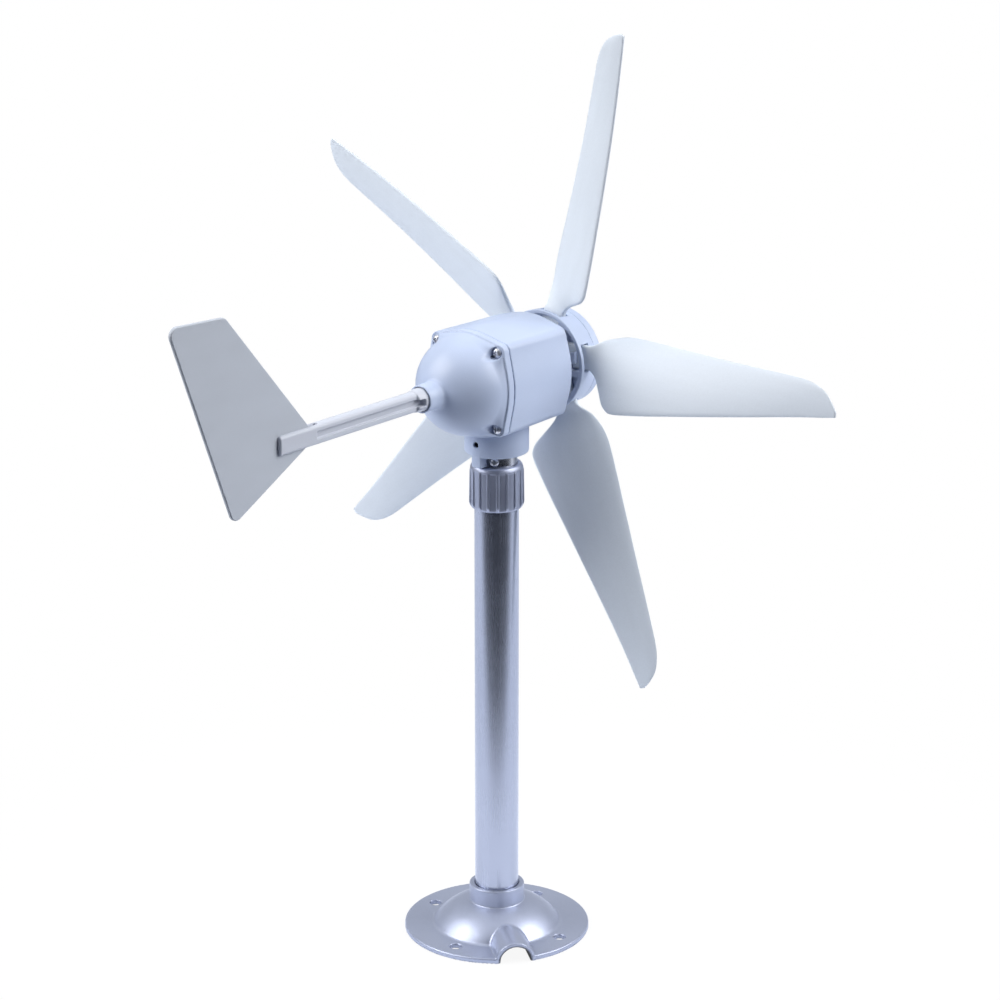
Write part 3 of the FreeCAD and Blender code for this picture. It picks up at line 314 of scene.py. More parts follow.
def nacelle_field(x, y, z):
    """The housing with its boss, stop tab, bores, seat for the front plate and grub-screw hole."""
    up = z - AXIS
    along = (x - BODY_REAR) / (BODY_FRONT - BODY_REAR)
    half = BODY_HALF_REAR + (BODY_HALF_FRONT - BODY_HALF_REAR) * along
    body = both(body_section(y, up, half, BODY_ROUND), between(x, BODY_REAR, BODY_FRONT), SEAM_EDGE)
    from_mast = np.hypot(x, y)
    boss = both(from_mast - BOSS_RADIUS, between(z, BOSS_LOW, AXIS), 1.6)
    tab_sides = both(between(y, -TAB_HALF, TAB_HALF), between(x, -BOSS_RADIUS, -TAB_INNER), 0.5)
    tab = both(both(tab_sides, from_mast - BOSS_RADIUS, 0.5),
               between(z, TAB_LOW, BOSS_LOW + TAB_ROOT), 0.5)
    shape = either(either(body, boss, 2.2), tab, 0.4)
    from_axis = np.hypot(y, up)
    shape = without(shape, both(from_axis - BODY_BORE, x - (BODY_FRONT - WEB_PLACE)), 0.4)
    shape = without(shape, from_axis - WEB_OPENING)
    plate = both(from_axis - BODY_BORE - PLATE_STEP, BODY_FRONT - PLATE_DEPTH - x)
    shape = without(shape, plate, 0.5)
    shape = without(shape, both(from_mast - BOSS_BORE, z - AXIS))
    shape = without(shape, both(from_mast - FLANGE_BORE, z - BOSS_LOW - FLANGE_DEPTH), 0.4)
    grub = both(np.hypot(y, z - GRUB_HEIGHT) - GRUB_RADIUS, x)
    return without(shape, grub, 0.35)


def grub_hole_shade(x, y, z):
    """The boss round the grub screw's hole, from just below its mouth, where the hole's walls get
    painted shade.
    """
    return both(both(np.hypot(y, z - GRUB_HEIGHT) - GRUB_SHADE_REACH,
                     np.hypot(x, y) - BOSS_RADIUS + GRUB_SHADE_DEPTH), x)


def cap_field(x, y, z):
    """The domed cap with its flange, boom socket, screw holes and hollow."""
    up = z - AXIS
    from_axis = np.hypot(y, up)
    centre = SCREW_SEAT
    dome = both(np.hypot(x - centre, from_axis) - CAP_RADIUS, x - CAP_FRONT + DOME_STOP)
    flange = both(body_section(y, up, BODY_HALF_REAR, BODY_ROUND - FLANGE_INSET),
                  between(x, centre - FLANGE_BACK, CAP_FRONT), SEAM_EDGE)
    shoulder = both(rounded_square(y, up, BODY_HALF_REAR - SHOULDER_INSET, SHOULDER_CORNER),
                    between(x, centre - SHOULDER_BACK, CAP_FRONT - DOME_STOP), 2.6)
    shape = either(either(dome, shoulder, 6.0), flange, 0.8)
    socket = both(from_axis - SOCKET_RADIUS, between(x, CAP_END, centre - SOCKET_ROOT), 0.9)
    shape = either(shape, socket, 2.0)
    screw = np.hypot(np.abs(y) - SCREW_PLACE, np.abs(up) - SCREW_PLACE)
    shape = without(shape, both(screw - SCREW_RECESS, x - centre + 0.1), 0.9)
    shape = without(shape, screw - SCREW_HOLE)
    inside = either(np.hypot(x - centre, from_axis) - CAP_RADIUS + CAP_WALL,
                    both(from_axis - CAP_RADIUS + CAP_WALL, centre - x))
    shape = without(shape, both(inside, centre - CAP_HOLLOW - x))
    shape = without(shape, from_axis - STUD_HOLE)
    return without(shape, both(from_axis - COLLAR_RECESS, x - CAP_END - COLLAR_SEAT), 0.3)


def make_head_castings():
    reach = BODY_ROUND + 0.5
    body = solid("nacelle_shell", nacelle_field, (BODY_REAR, -reach, TAB_LOW),
                 (BODY_FRONT, reach, AXIS + reach), step=0.9, skin=grub_hole_shade)
    stand_for(body, "nacelle_body", "head", "white_paint")
    cap = solid("cap_shell", cap_field, (CAP_END, -reach, AXIS - reach),
                (CAP_FRONT, reach, AXIS + reach), step=0.85)
    stand_for(cap, "rear_cap", "head", "white_paint")


# ------------------------ hub castings

FIFTH = 2 * math.pi / 5
BLADE_TURN = math.radians(16.0)
HUB_RADIUS, HUB_TAPER = 37.2, 1.5
CUP_BORE, CUP_SLANT, CUP_FLOOR = 34.4, 0.42, 3.2
HUB_NECK, HUB_NECK_REAR, HUB_NECK_SLANT = 9.0, 40.5, 0.16
FRONT_BORE, FRONT_DEPTH = 32.3, 11.5
WINDOW_PLACE, WINDOW_HALF, WINDOW_RIB = 26.75, 4.75, math.radians(19.0)
SIGHT_ASIDE, SIGHT_PLACE, SIGHT_RADIUS = 2.0, 26.0, 3.0
SLOT_SIDES, SLOT_ENDS, SLOT_INNER = (-4.6, 14.6), (3.4, 12.2), 28.0
SHAFT_HOLE = 4.1
DISH_RADIUS, DISH_GAP, DISH_EDGE = 35.4, 0.35, 2.2
CORE_RADIUS, CORE_DEPTH = 32.0, 6.4
WELL_RADIUS, WELL_SLANT = 28.6, 0.34
SCREW_RADII, SCREW_ASIDE = (16.0, 24.0), 5.0
HUB_REACH = 37.6


def by_blade(y, up):
    """Each spot as its nearest blade has it: across its foot, along it, and its angle from it."""
    angle = np.arctan2(-y, up) - BLADE_TURN
    angle = angle - FIFTH * np.round(angle / FIFTH)
    from_axis = np.hypot(y, up)
    return -from_axis * np.sin(angle), from_axis * np.cos(angle), angle


def hub_field(x, y, z):
    """The cup with its neck, windows and sight holes in the back, and a slot for each blade."""
    up = z - AXIS
    from_axis = np.hypot(y, up)
    across, along, angle = by_blade(y, up)
    rim = HUB_RADIUS - HUB_TAPER * (x - HUB_REAR) / (HUB_PART - HUB_REAR)
    cup = both(from_axis - rim, between(x, HUB_REAR, HUB_PART), 0.7)
    well = both(from_axis - CUP_BORE + (x - HUB_REAR) * CUP_SLANT, x - HUB_REAR - CUP_FLOOR, 0.8)
    cup = without(cup, well, 0.5)
    neck = both(from_axis - HUB_NECK - (x - HUB_NECK_REAR) * HUB_NECK_SLANT,
                between(x, HUB_NECK_REAR, HUB_PART - FRONT_DEPTH), 0.6)
    shape = either(cup, neck, 1.5)
    shape = without(shape, both(from_axis - FRONT_BORE, HUB_PART - FRONT_DEPTH - x), 0.3)
    window = both(np.abs(from_axis - WINDOW_PLACE) - WINDOW_HALF,
                  (WINDOW_RIB - np.abs(angle)) * from_axis, 1.6)
    shape = without(shape, window, 0.4)
    sight = np.hypot(across + SIGHT_ASIDE, along - SIGHT_PLACE) - SIGHT_RADIUS
    shape = without(shape, sight, 0.3)
    slot_rear, slot_front = (HUB_REAR + end for end in SLOT_ENDS)
    slot = both(between(across, *SLOT_SIDES), between(x, slot_rear, slot_front), 0.6)
    shape = without(shape, both(slot, SLOT_INNER - along), 0.4)
    return without(shape, from_axis - SHAFT_HOLE)


def dish_field(x, y, z):
    """The front plate: a rounded rim, a core that fits the cup, a well and the screws' holes."""
    up = z - AXIS
    from_axis = np.hypot(y, up)
    across, along, _ = by_blade(y, up)
    rim = both(from_axis - DISH_RADIUS, HUB_PART + DISH_GAP - x, 0.4)
    rim = both(rim, x - HUB_FRONT, DISH_EDGE)
    core = both(from_axis - CORE_RADIUS, between(x, HUB_PART - CORE_DEPTH, HUB_FRONT - 1))
    shape = either(rim, core)
    well = both(from_axis - WELL_RADIUS - (x - DISH_FLOOR) * WELL_SLANT, DISH_FLOOR - x, 1.2)
    shape = without(shape, well, 0.9)
    for radius in SCREW_RADII:
        screw = np.hypot(across - SCREW_ASIDE, along - radius) - SCREW_HOLE
        shape = without(shape, screw, 0.2)
    return without(shape, from_axis - SHAFT_HOLE)


def make_hub_castings():
    low, high = AXIS - HUB_REACH, AXIS + HUB_REACH
    cup = solid("hub_casting", hub_field, (HUB_NECK_REAR, -HUB_REACH, low),
                (HUB_PART, HUB_REACH, high), step=0.75)
    stand_for(cup, "hub", "rotor", "white_paint")
    dish = solid("hub_dish", dish_field, (HUB_PART - CORE_DEPTH, -HUB_REACH, low),
                 (HUB_FRONT, HUB_REACH, high), step=0.75)
    stand_for(dish, "hub_front_plate", "rotor", "white_paint")


# ------------------------ foot casting

FOOT_THICK = 4.0
FOOT_TURN = math.radians(7.0 + 225.0)
DOME_CENTRE, DOME_ARC, DOME_WALL = (11.98, -19.19), 42.0, 3.5
NECK_RADIUS, NECK_CHAMFER, POLE_FIT = 20.2, 0.7, 0.05
COS_45 = 0.707
BOLT_PLACE, BOLT_RADIUS = 55.0 * math.sqrt(0.5), 4.25
HOLLOW_RADIUS, HOLLOW_TOP, CABLE_BORE = 42.5, 3.0, 13.0
# Inside the lip's radius, the mouth of the tunnel gets painted shade.
RIDGE_RADIUS, SHADED_LIP_RADIUS, TUNNEL_RADIUS, TUNNEL_HEIGHT = 14.5, 13.4, 11.3, 1.0
TUNNEL_START = 4.0
SET_SCREWS, SET_SCREW_HEIGHT, SET_SCREW_RADIUS = (165, 195), 27.0, 2.5


def foot_dome(out, z):
    """The dome: a circular arc swept round the mast."""
    return np.hypot(np.maximum(out - DOME_CENTRE[0], 0.0), z - DOME_CENTRE[1]) - DOME_ARC


def foot_skin(x, y, z):
    """The foot before it is hollowed: plate with bolt holes, dome, neck, and the tunnel's ridge."""
    out = np.hypot(x, y)
    flange = both(out - FOOT_RADIUS, z - FOOT_THICK, 1.3)
    neck = both(out - NECK_RADIUS, z - FOOT_TOP, 0.9)
    shape = either(either(flange, foot_dome(out, z), 1.6), neck, 0.9)
    ridge = both(both(np.hypot(y, z - TUNNEL_HEIGHT) - RIDGE_RADIUS, -x), out - FOOT_RADIUS, 0.9)
    shape = both(either(shape, ridge, 1.0), -z)
    bolt = np.hypot(np.abs(x) - BOLT_PLACE, np.abs(y) - BOLT_PLACE) - BOLT_RADIUS
    return without(shape, bolt, 0.8)


def foot_shade_skin(x, y, z):
    """What lies under the foot's skin, and a lip round the tunnel's mouth: all of it gets painted
    shade.
    """
    return either(foot_skin(x, y, z), both(np.hypot(y, z - TUNNEL_HEIGHT) - SHADED_LIP_RADIUS, -x))


def foot_field(x, y, z):
    """The foot with its hollow, the pole's seat, the set screws' holes and a tunnel along +X."""
    out = np.hypot(x, y)
    hollow = both(foot_dome(out, z) + DOME_WALL, out - HOLLOW_RADIUS)
    shape = without(foot_skin(x, y, z), both(hollow, z - POLE_SEAT + HOLLOW_TOP))
    shape = without(shape, out - CABLE_BORE)
    shape = without(shape, both(out - POLE_RADIUS - POLE_FIT, POLE_SEAT - z))
    shape = without(shape, (out - POLE_RADIUS - z + FOOT_TOP - NECK_CHAMFER) * COS_45, 0.3)
    tunnel = both(np.hypot(y, z - TUNNEL_HEIGHT) - TUNNEL_RADIUS, NECK_RADIUS + TUNNEL_START - x)
    shape = without(shape, tunnel, 0.6)
    for angle in SET_SCREWS:
        turn = math.radians(angle)
        along = x * math.cos(turn) + y * math.sin(turn)
        aside = y * math.cos(turn) - x * math.sin(turn)
        screw = both(np.hypot(aside, z - SET_SCREW_HEIGHT) - SET_SCREW_RADIUS, -along)
        shape = without(shape, screw, 0.4)
    return shape


def make_foot():
    low = (-FOOT_RADIUS, -FOOT_RADIUS, 0.0)
    high = (FOOT_RADIUS, FOOT_RADIUS, FOOT_TOP)
    foot = solid("foot_casting", foot_field, low, high, step=1.0,
                 place=Matrix.Rotation(FOOT_TURN, 4, "Z"), skin=foot_shade_skin)
    stand_for(foot, "base_flange", "mast", "foot_paint")


# ------------------------ nut, boom and nose

NUT_RADIUS, NUT_FOOT, NUT_TAPER = 19.9, 3.0, 0.018
# The nut's lower and upper chamfer: radius at the end, slope, and what makes it a distance.
LOWER_CONE, UPPER_CONE = (18.2, 0.57, 0.87), (17.6, 0.5, 0.89)
NUT_FLUTES, FLUTE_HALF, FLUTE_FLOOR, FLUTE_STOP = 17, 2.5, 18.75, 3.3
# Radius and depth, from the nut's top, of the bore in it and of the bore below.
NUT_MOUTH, NUT_BORE = (14.95, 7.0), (16.05, 6.45)
BOOM_RADIUS, BOOM_FLAT, STUD_RADIUS = 7.3, 4.6, 6.0
SWELL_START, SWELL_RUN, COLLAR_REAR = 10.0, 7.0, 8.0
GROOVE_HALF, GROOVE_FLOOR, GROOVE_START, GROOVE_STOP = 2.4, 2.7, 35.0, 2.5
FIN_THICK, FIN_SLOT, FIN_FIT = 3.0, 38.5, 0.02
NOSE_CENTRE, NOSE_BALL, NOSE_RADIUS, NOSE_BORE, NOSE_WALL = 5.0, 13.0, 11.5, 9.2, 4.0


def cone(out, height, radius, slope, level):
    """A cone round the mast that widens with height."""
    return (out - radius - height * slope) * level


def nut_field(x, y, z):
    """The union nut: a fluted wall with a chamfer at each end."""
    out = np.hypot(x, y)
    wall = out - NUT_RADIUS + (z - NUT_LOW - NUT_FOOT) * NUT_TAPER
    shape = both(wall, between(z, NUT_LOW, NUT_TOP), 0.4)
    shape = both(shape, cone(out, z - NUT_LOW, *LOWER_CONE), 0.8)
    shape = both(shape, cone(out, NUT_TOP - z, *UPPER_CONE), 1.0)
    pitch = 2 * math.pi / NUT_FLUTES
    angle = np.arctan2(y, x)
    across = out * np.sin(angle - pitch * np.round(angle / pitch))
    flute = both(both(np.abs(across) - FLUTE_HALF, FLUTE_FLOOR - out, 0.5),
                 z - NUT_TOP + FLUTE_STOP, 1.2)
    shape = without(shape, flute, 0.6)
    shape = without(shape, both(out - NUT_MOUTH[0], NUT_TOP - NUT_MOUTH[1] - z), 0.3)
    return without(shape, both(out - NUT_BORE[0], z - NUT_TOP + NUT_BORE[1]))


def boom_field(x, y, z):
    """The boom: a bar with two flat grooved sides, a slot for the fin, a collar and a stud."""
    up = z - AXIS
    from_axis = np.hypot(y, up)
    bar = both(from_axis - BOOM_RADIUS, np.abs(y) - BOOM_FLAT, 1.0)
    end = both(np.abs(up) - BOOM_RADIUS, BOOM_END - x, 2.6)
    bar = both(bar, both(end, x - CAP_END - COLLAR_SEAT), 0.8)
    swell = BOOM_RADIUS + np.clip((x - CAP_END + SWELL_START) / SWELL_RUN, 0.0, 1.0)
    collar = both(from_axis - swell, between(x, CAP_END - COLLAR_REAR, CAP_END + COLLAR_SEAT), 0.6)
    shape = either(bar, collar, 0.8)
    shape = either(shape, both(from_axis - STUD_RADIUS, between(x, CAP_END, STUD_END), 0.4))
    groove = both(np.abs(up) - GROOVE_HALF, GROOVE_FLOOR - np.abs(y), 0.5)
    groove = both(groove, between(x, BOOM_END + GROOVE_START, CAP_END - GROOVE_STOP), 0.4)
    shape = without(shape, groove, 0.45)
    slot = both(np.abs(y) - FIN_THICK / 2 - FIN_FIT, x - BOOM_END - FIN_SLOT)
    return without(shape, slot, 0.15)


def nose_field(x, y, z):
    """The domed cap over the hub's nut."""
    from_axis = np.hypot(y, z - AXIS)
    ball = np.hypot(x - NOSE_REAR - NOSE_CENTRE, from_axis) - NOSE_BALL
    shape = both(both(ball, from_axis - NOSE_RADIUS, 1.5), between(x, NOSE_REAR, NOSE_FRONT), 0.3)
    shape = both(shape, x - NOSE_FRONT, 1.8)
    return without(shape, both(from_axis - NOSE_BORE, x - NOSE_FRONT + NOSE_WALL), 0.2)


def make_small_castings():
    nut = solid("nut_fluted", nut_field, (-20, -20, NUT_LOW), (20, 20, NUT_TOP), step=0.5)
    stand_for(nut, "collar_nut", "mast", "foot_paint")
    boom = solid("boom_bar", boom_field, (BOOM_END, -9, AXIS - 9),
                 (STUD_END, 9, AXIS + 9), step=0.7)
    stand_for(boom, "tail_boom", "head", "boom_plastic")
    nose = solid("nose_dome", nose_field, (NOSE_REAR, -12, AXIS - 12),
                 (NOSE_FRONT, 12, AXIS + 12), step=0.45)
    mark_home(nose.data, [vertex.co / MM for vertex in nose.data.vertices])
    stand_for(nose, "nose_cap", "rotor", "blade_nylon")


# ------------------------ fin

# The plate's corners along X and up from the rotor's axis, each with the radius of its rounding.
FIN_CORNERS = ((-322.0, 99.6, 6.0), (-270.5, 96.8, 7.0), (-187.0, -2.0, 1.0), (-267.0, -44.4, 6.0))
FIN_EDGE = 0.9
CORNER_STEPS = 10
EDGE_BENDS = (-90, -68, -45, -22, 0, 22, 45, 68, 90)


def rounded_outline(corners, steps):
    """Points round a polygon with rounded corners, and the outward direction at each."""
    points, outward = [], []
    for index, (x, z, radius) in enumerate(corners):
        spot = Vector((x, z))
        before = (Vector(corners[index - 1][:2]) - spot).normalized()
        after = (Vector(corners[(index + 1) % len(corners)][:2]) - spot).normalized()
        half = before.angle(after) / 2
        centre = spot + (before + after).normalized() * radius / math.sin(half)
        first = (spot + before * radius / math.tan(half) - centre).normalized()
        last = (spot + after * radius / math.tan(half) - centre).normalized()
        for step in range(steps + 1):
            way = first.slerp(last, step / steps)
            points.append(centre + way * radius)
            outward.append(way)
    return points, outward


def make_fin():
    """The fin: its outline swept from one side to the other round a rounded edge."""
    outline, outward = rounded_outline(FIN_CORNERS, CORNER_STEPS)
    points, normals = [], []
    for bend in map(math.radians, EDGE_BENDS):
        side = math.copysign(FIN_THICK / 2 - FIN_EDGE, bend) if bend else 0.0
        for spot, way in zip(outline, outward):
            edge = spot - way * FIN_EDGE * (1 - math.cos(bend))
            points.append((edge.x, side + FIN_EDGE * math.sin(bend), edge.y + AXIS))
            normals.append((way.x * math.cos(bend), math.sin(bend), way.y * math.cos(bend)))
    faces = loft_faces(len(EDGE_BENDS), len(outline))
    fin = smooth_object("fin_plate", points, faces, normals)
    stand_for(fin, "tail_fin", "head", "vane_plastic")


# ------------------------ blades

# Stations of a blade that points up: distance from the rotor's axis, leading and trailing edge,
# twist in degrees, thickness, camber, and how far the section is an aerofoil and not a flat foot.
STATIONS = (
    (12.5, -14.0, 4.0, 0.0, 4.9, 0.0, 0.0),
    (34.0, -14.0, 4.0, 0.0, 4.9, 0.0, 0.0),
    (36.4, -14.0, 4.0, 2.0, 4.7, 0.0, 0.2),
    (39.0, -14.6, 4.4, 9.0, 4.5, 0.1, 0.6),
    (43.0, -17.6, 7.0, 18.0, 4.2, 0.3, 0.9),
    (47.0, -20.4, 11.4, 24.0, 3.9, 0.8, 1.0),
    (52.0, -22.6, 18.6, 27.5, 3.6, 1.3, 1.0),
    (58.0, -24.8, 26.8, 29.0, 3.4, 1.8, 1.0),
    (66.0, -26.4, 30.8, 29.0, 3.3, 2.2, 1.0),
    (80.0, -26.8, 29.0, 28.5, 3.1, 2.4, 1.0),
    (120.0, -26.0, 21.2, 26.2, 2.8, 2.0, 1.0),
    (170.0, -25.4, 11.0, 21.0, 2.4, 1.4, 1.0),
    (215.0, -25.6, 1.8, 13.5, 2.1, 0.8, 1.0),
    (230.0, -23.8, -1.0, 10.5, 1.9, 0.5, 1.0),
    (239.0, -19.8, -2.6, 9.0, 1.8, 0.3, 1.0),
    (245.0, -13.8, -3.8, 8.0, 1.7, 0.15, 1.0),
    (248.3, -9.0, -4.4, 7.5, 1.6, 0.0, 1.0),
)
# How far each blade leans in the rotor's plane, bent at its neck, in degrees.
BLADE_LEANS = (0.0, 2.9, 0.9, 0.5, -1.0)
NECK_PLACE, NECK_BEND = 34.0, 4.0
BLADE_PLANE = 59.0
SECTION_STEPS = 22
# Fullness and taper of the aerofoil, thickness of its tail, and how soon that is reached.
WING_FULL, WING_TAPER, TAIL_THICK, TAIL_RUN = 1.62, 0.55, 0.44, 12
FOOT_SQUARENESS, WING_SQUARENESS = 14, 30
# Where the rings of points lie along a blade: from, up to, and how far apart.
RING_RUNS = ((14.0, 34.0, 5.0), (34.0, 66.0, 1.0), (66.0, 226.0, 2.5), (226.0, 248.2, 0.9))
BLADE_FOOT, FOOT_BEVEL, FOOT_SHRINK = 12.5, 0.3, 0.82
BLADE_TIP, TIP_BEVEL, TIP_SHRINKS = 248.3, 0.35, (0.9, 0.5)


def station_at(radius):
    """The blade's measures at any distance from the axis, on a smooth line through the stations."""
    table = np.array(STATIONS)
    places, values = table[:, 0], table[:, 1:]
    slopes = np.diff(values, axis=0) / np.diff(places)[:, None]
    ends = np.vstack([slopes[:1], (slopes[:-1] + slopes[1:]) / 2, slopes[-1:]])
    flat = np.vstack([slopes[:1], slopes]) * np.vstack([slopes, slopes[-1:]]) <= 0
    ends[flat] = 0.0
    index = int(np.clip(np.searchsorted(places, radius) - 1, 0, len(places) - 2))
    wide = places[index + 1] - places[index]
    t = (radius - places[index]) / wide
    return ((2 * t ** 3 - 3 * t ** 2 + 1) * values[index]
            + (t ** 3 - 2 * t ** 2 + t) * wide * ends[index]
            + (3 * t ** 2 - 2 * t ** 3) * values[index + 1]
            + (t ** 3 - t ** 2) * wide * ends[index + 1])


def blade_ring(radius, shrink=1.0):
    """One section as a ring of points: over the back from nose to tail, then under to the nose."""
    leading, trailing, twist, thick, camber, foil = station_at(radius)
    turn = math.radians(twist)
    back, front = [], []
    for step in range(SECTION_STEPS + 1):
        along = 0.5 - 0.5 * math.cos(math.pi * step / SECTION_STEPS)
        wing = math.sqrt(along) * (1.0 - WING_TAPER * along) * WING_FULL
        wing += TAIL_THICK / thick * min(1.0, along * TAIL_RUN)
        full = foil * wing + (1.0 - foil)
        squareness = FOOT_SQUARENESS if foil < 0.5 else WING_SQUARENESS
        ends = math.sqrt(max(0.0, 1.0 - abs(2 * along - 1) ** squareness))
        half = 0.5 * thick * full * ends * shrink
        bow = 4 * camber * along * (1 - along)
        across = leading + (trailing - leading) * (0.5 + (along - 0.5) * (0.4 + 0.6 * shrink))
        for line, offset in ((back, -bow - half), (front, -bow + half)):
            tangent = across * math.cos(turn) + offset * math.sin(turn)
            axial = -across * math.sin(turn) + offset * math.cos(turn)
            line.append((axial, -tangent, radius))
    return back + front[-2:0:-1]


def mark_home(mesh, points):
    """Keep where each point lies in the mould, so that its grain runs along the blade."""
    home = mesh.attributes.new("home", "FLOAT_VECTOR", "POINT")
    home.data.foreach_set("vector", (np.asarray(points) * MM).astype(np.float32).ravel())


def make_blades():
    """Five blades of the same rings, each bent at its neck and turned to its slot."""
    radii = [BLADE_FOOT + FOOT_BEVEL]
    for run in RING_RUNS:
        radii += list(np.arange(*run))
    rings = [blade_ring(BLADE_FOOT, FOOT_SHRINK)] + [blade_ring(radius) for radius in radii]
    rings += [blade_ring(BLADE_TIP, shrink) for shrink in TIP_SHRINKS]
    rings[-1] = [(x, y, z + TIP_BEVEL) for x, y, z in rings[-1]]
    points = np.array([spot for ring in rings for spot in ring])
    faces = loft_faces(len(rings), len(rings[0]), flip=True)
    past_neck = points[:, 2] - NECK_PLACE
    eased = (np.hypot(past_neck, NECK_BEND) + past_neck) / 2
    for index, lean in enumerate(BLADE_LEANS):
        bent = points.copy()
        bent[:, 1] -= math.tan(math.radians(lean)) * eased
        mesh = bpy.data.meshes.new("blade")
        mesh.from_pydata((bent * MM).tolist(), [], faces)
        mesh.shade_smooth()
        mark_home(mesh, points)
        turn = Matrix.Rotation(BLADE_TURN + FIFTH * index, 4, "X")
        mesh.transform(Matrix.Translation((BLADE_PLANE * MM, 0, AXIS * MM)) @ turn)
        name = "blade_%d" % (index + 1)
        stand_for(new_object("vane_" + name, mesh), name, "rotor", "blade_nylon")


# ------------------------ camera and stage

CAMERA_PLACE = Vector((-1.75673, -1.48455, 1.075))
CAMERA_SIGHT = Vector((0.7275, 0.6135, -0.3074))
CAMERA_LENS, CAMERA_SENSOR, CAMERA_REACH = 121.7, 36.0, 60.0
LEVEL_SIGHT = Vector((CAMERA_SIGHT.x, CAMERA_SIGHT.y, 0)).normalized()
BACKDROP_STRENGTH, SKY_STRENGTH = 1.02, 0.68
# The sky goes from dim to bright with the height and the way from the camera of a direction.
SKY_DIM, SKY_BRIGHT, SKY_FULL = (0.07, 0.09, 0.15), (0.9, 0.94, 1.0), 0.9
SKY_ALONG, SKY_UP = 0.75, 0.66
# Each softbox: angle from the camera's side of the object, distance, height, width, length, power.
SOFTBOXES = {
    "top": (0, 0.15, 2.6, 2.6, 2.6, 11.0),
    "left": (-80, 1.9, 1.65, 1.8, 1.6, 46.0),
    "right": (80, 1.9, 1.65, 1.8, 1.6, 48.0),
}
LIGHT_TARGET = (0, 0, 0.35)
FLOOR_HALF = 14.0
FLOOR_WHITE = (0.95, 0.95, 0.955)
BACKDROP_NEAR, BACKDROP_FAR, BACKDROP_SHADE = 0.1, 0.5, (0.92, 0.92, 0.92)
# The floor as the object sees it: a painted pool of light round a spot behind the mast, painted
# dark further off, and a painted glow near the mast.
TABLE_BEHIND, TABLE_ASIDE = 0.5, 0.5
TABLE_REACH = (0.72, 1.03)
TABLE_PAINTED_LIGHT, TABLE_PAINTED_SHADE = (0.71, 0.75, 0.84), (0.008, 0.01, 0.015)
GLOW_STRENGTH, GLOW_NEAR, GLOW_FAR = 0.22, 0.15, 0.6
BLACK, WHITE = (0, 0, 0), (1, 1, 1)


def aimed(name, data, place, way):
    """A new object at a place, looking along a direction."""
    thing = new_object(name, data)
    thing.location = place
    thing.rotation_mode = "QUATERNION"
    thing.rotation_quaternion = way.to_track_quat("-Z", "Y")
    return thing


def make_camera():
    data = bpy.data.cameras.new("camera")
    data.lens = CAMERA_LENS
    data.sensor_width = CAMERA_SENSOR
    data.clip_end = CAMERA_REACH
    scene.camera = aimed("camera", data, CAMERA_PLACE, CAMERA_SIGHT)


def area_light(name, place, wide, tall, power):
    data = bpy.data.lights.new(name, "AREA")
    data.shape = "RECTANGLE"
    data.size, data.size_y = wide, tall
    data.energy = power
    light = aimed(name, data, place, Vector(LIGHT_TARGET) - Vector(place))
    light.visible_camera = False


def add(tree, kind, inputs=None, **settings):
    """A new shader node; inputs gives plain values or links by socket name or number."""
    node = tree.nodes.new("ShaderNode" + kind)
    for name, value in settings.items():
        setattr(node, name, value)
    for socket, value in (inputs or {}).items():
        if isinstance(value, bpy.types.NodeSocket):
            tree.links.new(value, node.inputs[socket])
        else:
            node.inputs[socket].default_value = value
    return node


def two_tone(tree, value, first, last, end=1.0):
    """A ramp from one colour, where value is 0, to another, where it is end."""
    ramp = add(tree, "ValToRGB", {"Fac": value})
    for element, place, colour in zip(ramp.color_ramp.elements, (0.0, end), (first, last)):
        element.position = place
        element.color = (*colour, 1)
    return ramp


def by_ray(tree, lit, seen):
    """One shader for the light in the scene, and another for the camera."""
    camera_ray = add(tree, "LightPath").outputs["Is Camera Ray"]
    return add(tree, "MixShader", {0: camera_ray, 1: lit.outputs[0], 2: seen.outputs[0]})


def along_way(tree, place, way):
    """How far each place lies along a direction."""
    where = add(tree, "TexCoord").outputs[place]
    return add(tree, "VectorMath", {0: where, 1: way}, operation="DOT_PRODUCT").outputs["Value"]


def make_world():
    """White to the camera; round the object a soft sky, bright overhead and dim by the camera."""
    world = bpy.data.worlds.new("studio")
    world.use_nodes = True
    tree = world.node_tree
    tree.nodes.clear()
    seen = add(tree, "Background", {"Color": (*WHITE, 1), "Strength": BACKDROP_STRENGTH})
    bright = (LEVEL_SIGHT.x * SKY_ALONG, LEVEL_SIGHT.y * SKY_ALONG, SKY_UP)
    ramp = two_tone(tree, along_way(tree, "Generated", bright), SKY_DIM, SKY_BRIGHT, SKY_FULL)
    lit = add(tree, "Background", {"Color": ramp.outputs["Color"], "Strength": SKY_STRENGTH})
    add(tree, "OutputWorld", {"Surface": by_ray(tree, lit, seen).outputs[0]})
    scene.world = world


def floor_ramp(tree, near, far, first, last, behind=0.0, aside=1.0):
    """A colour that changes with the distance from a spot on the floor behind the mast.

    aside under 1 stretches the pattern across the camera's line of sight."""
    sideways = Vector((LEVEL_SIGHT.y, -LEVEL_SIGHT.x, 0)) * aside
    ahead = add(tree, "Math", {0: along_way(tree, "Object", LEVEL_SIGHT), 1: -behind})
    spot = add(tree, "CombineXYZ", {0: ahead.outputs[0], 1: along_way(tree, "Object", sideways)})
    length = add(tree, "VectorMath", {0: spot.outputs[0]}, operation="LENGTH").outputs["Value"]
    reach = add(tree, "MapRange", {"Value": length, "From Min": near, "From Max": far})
    ramp = two_tone(tree, reach.outputs["Result"], first, last)
    ramp.color_ramp.interpolation = "EASE"
    return ramp.outputs["Color"]


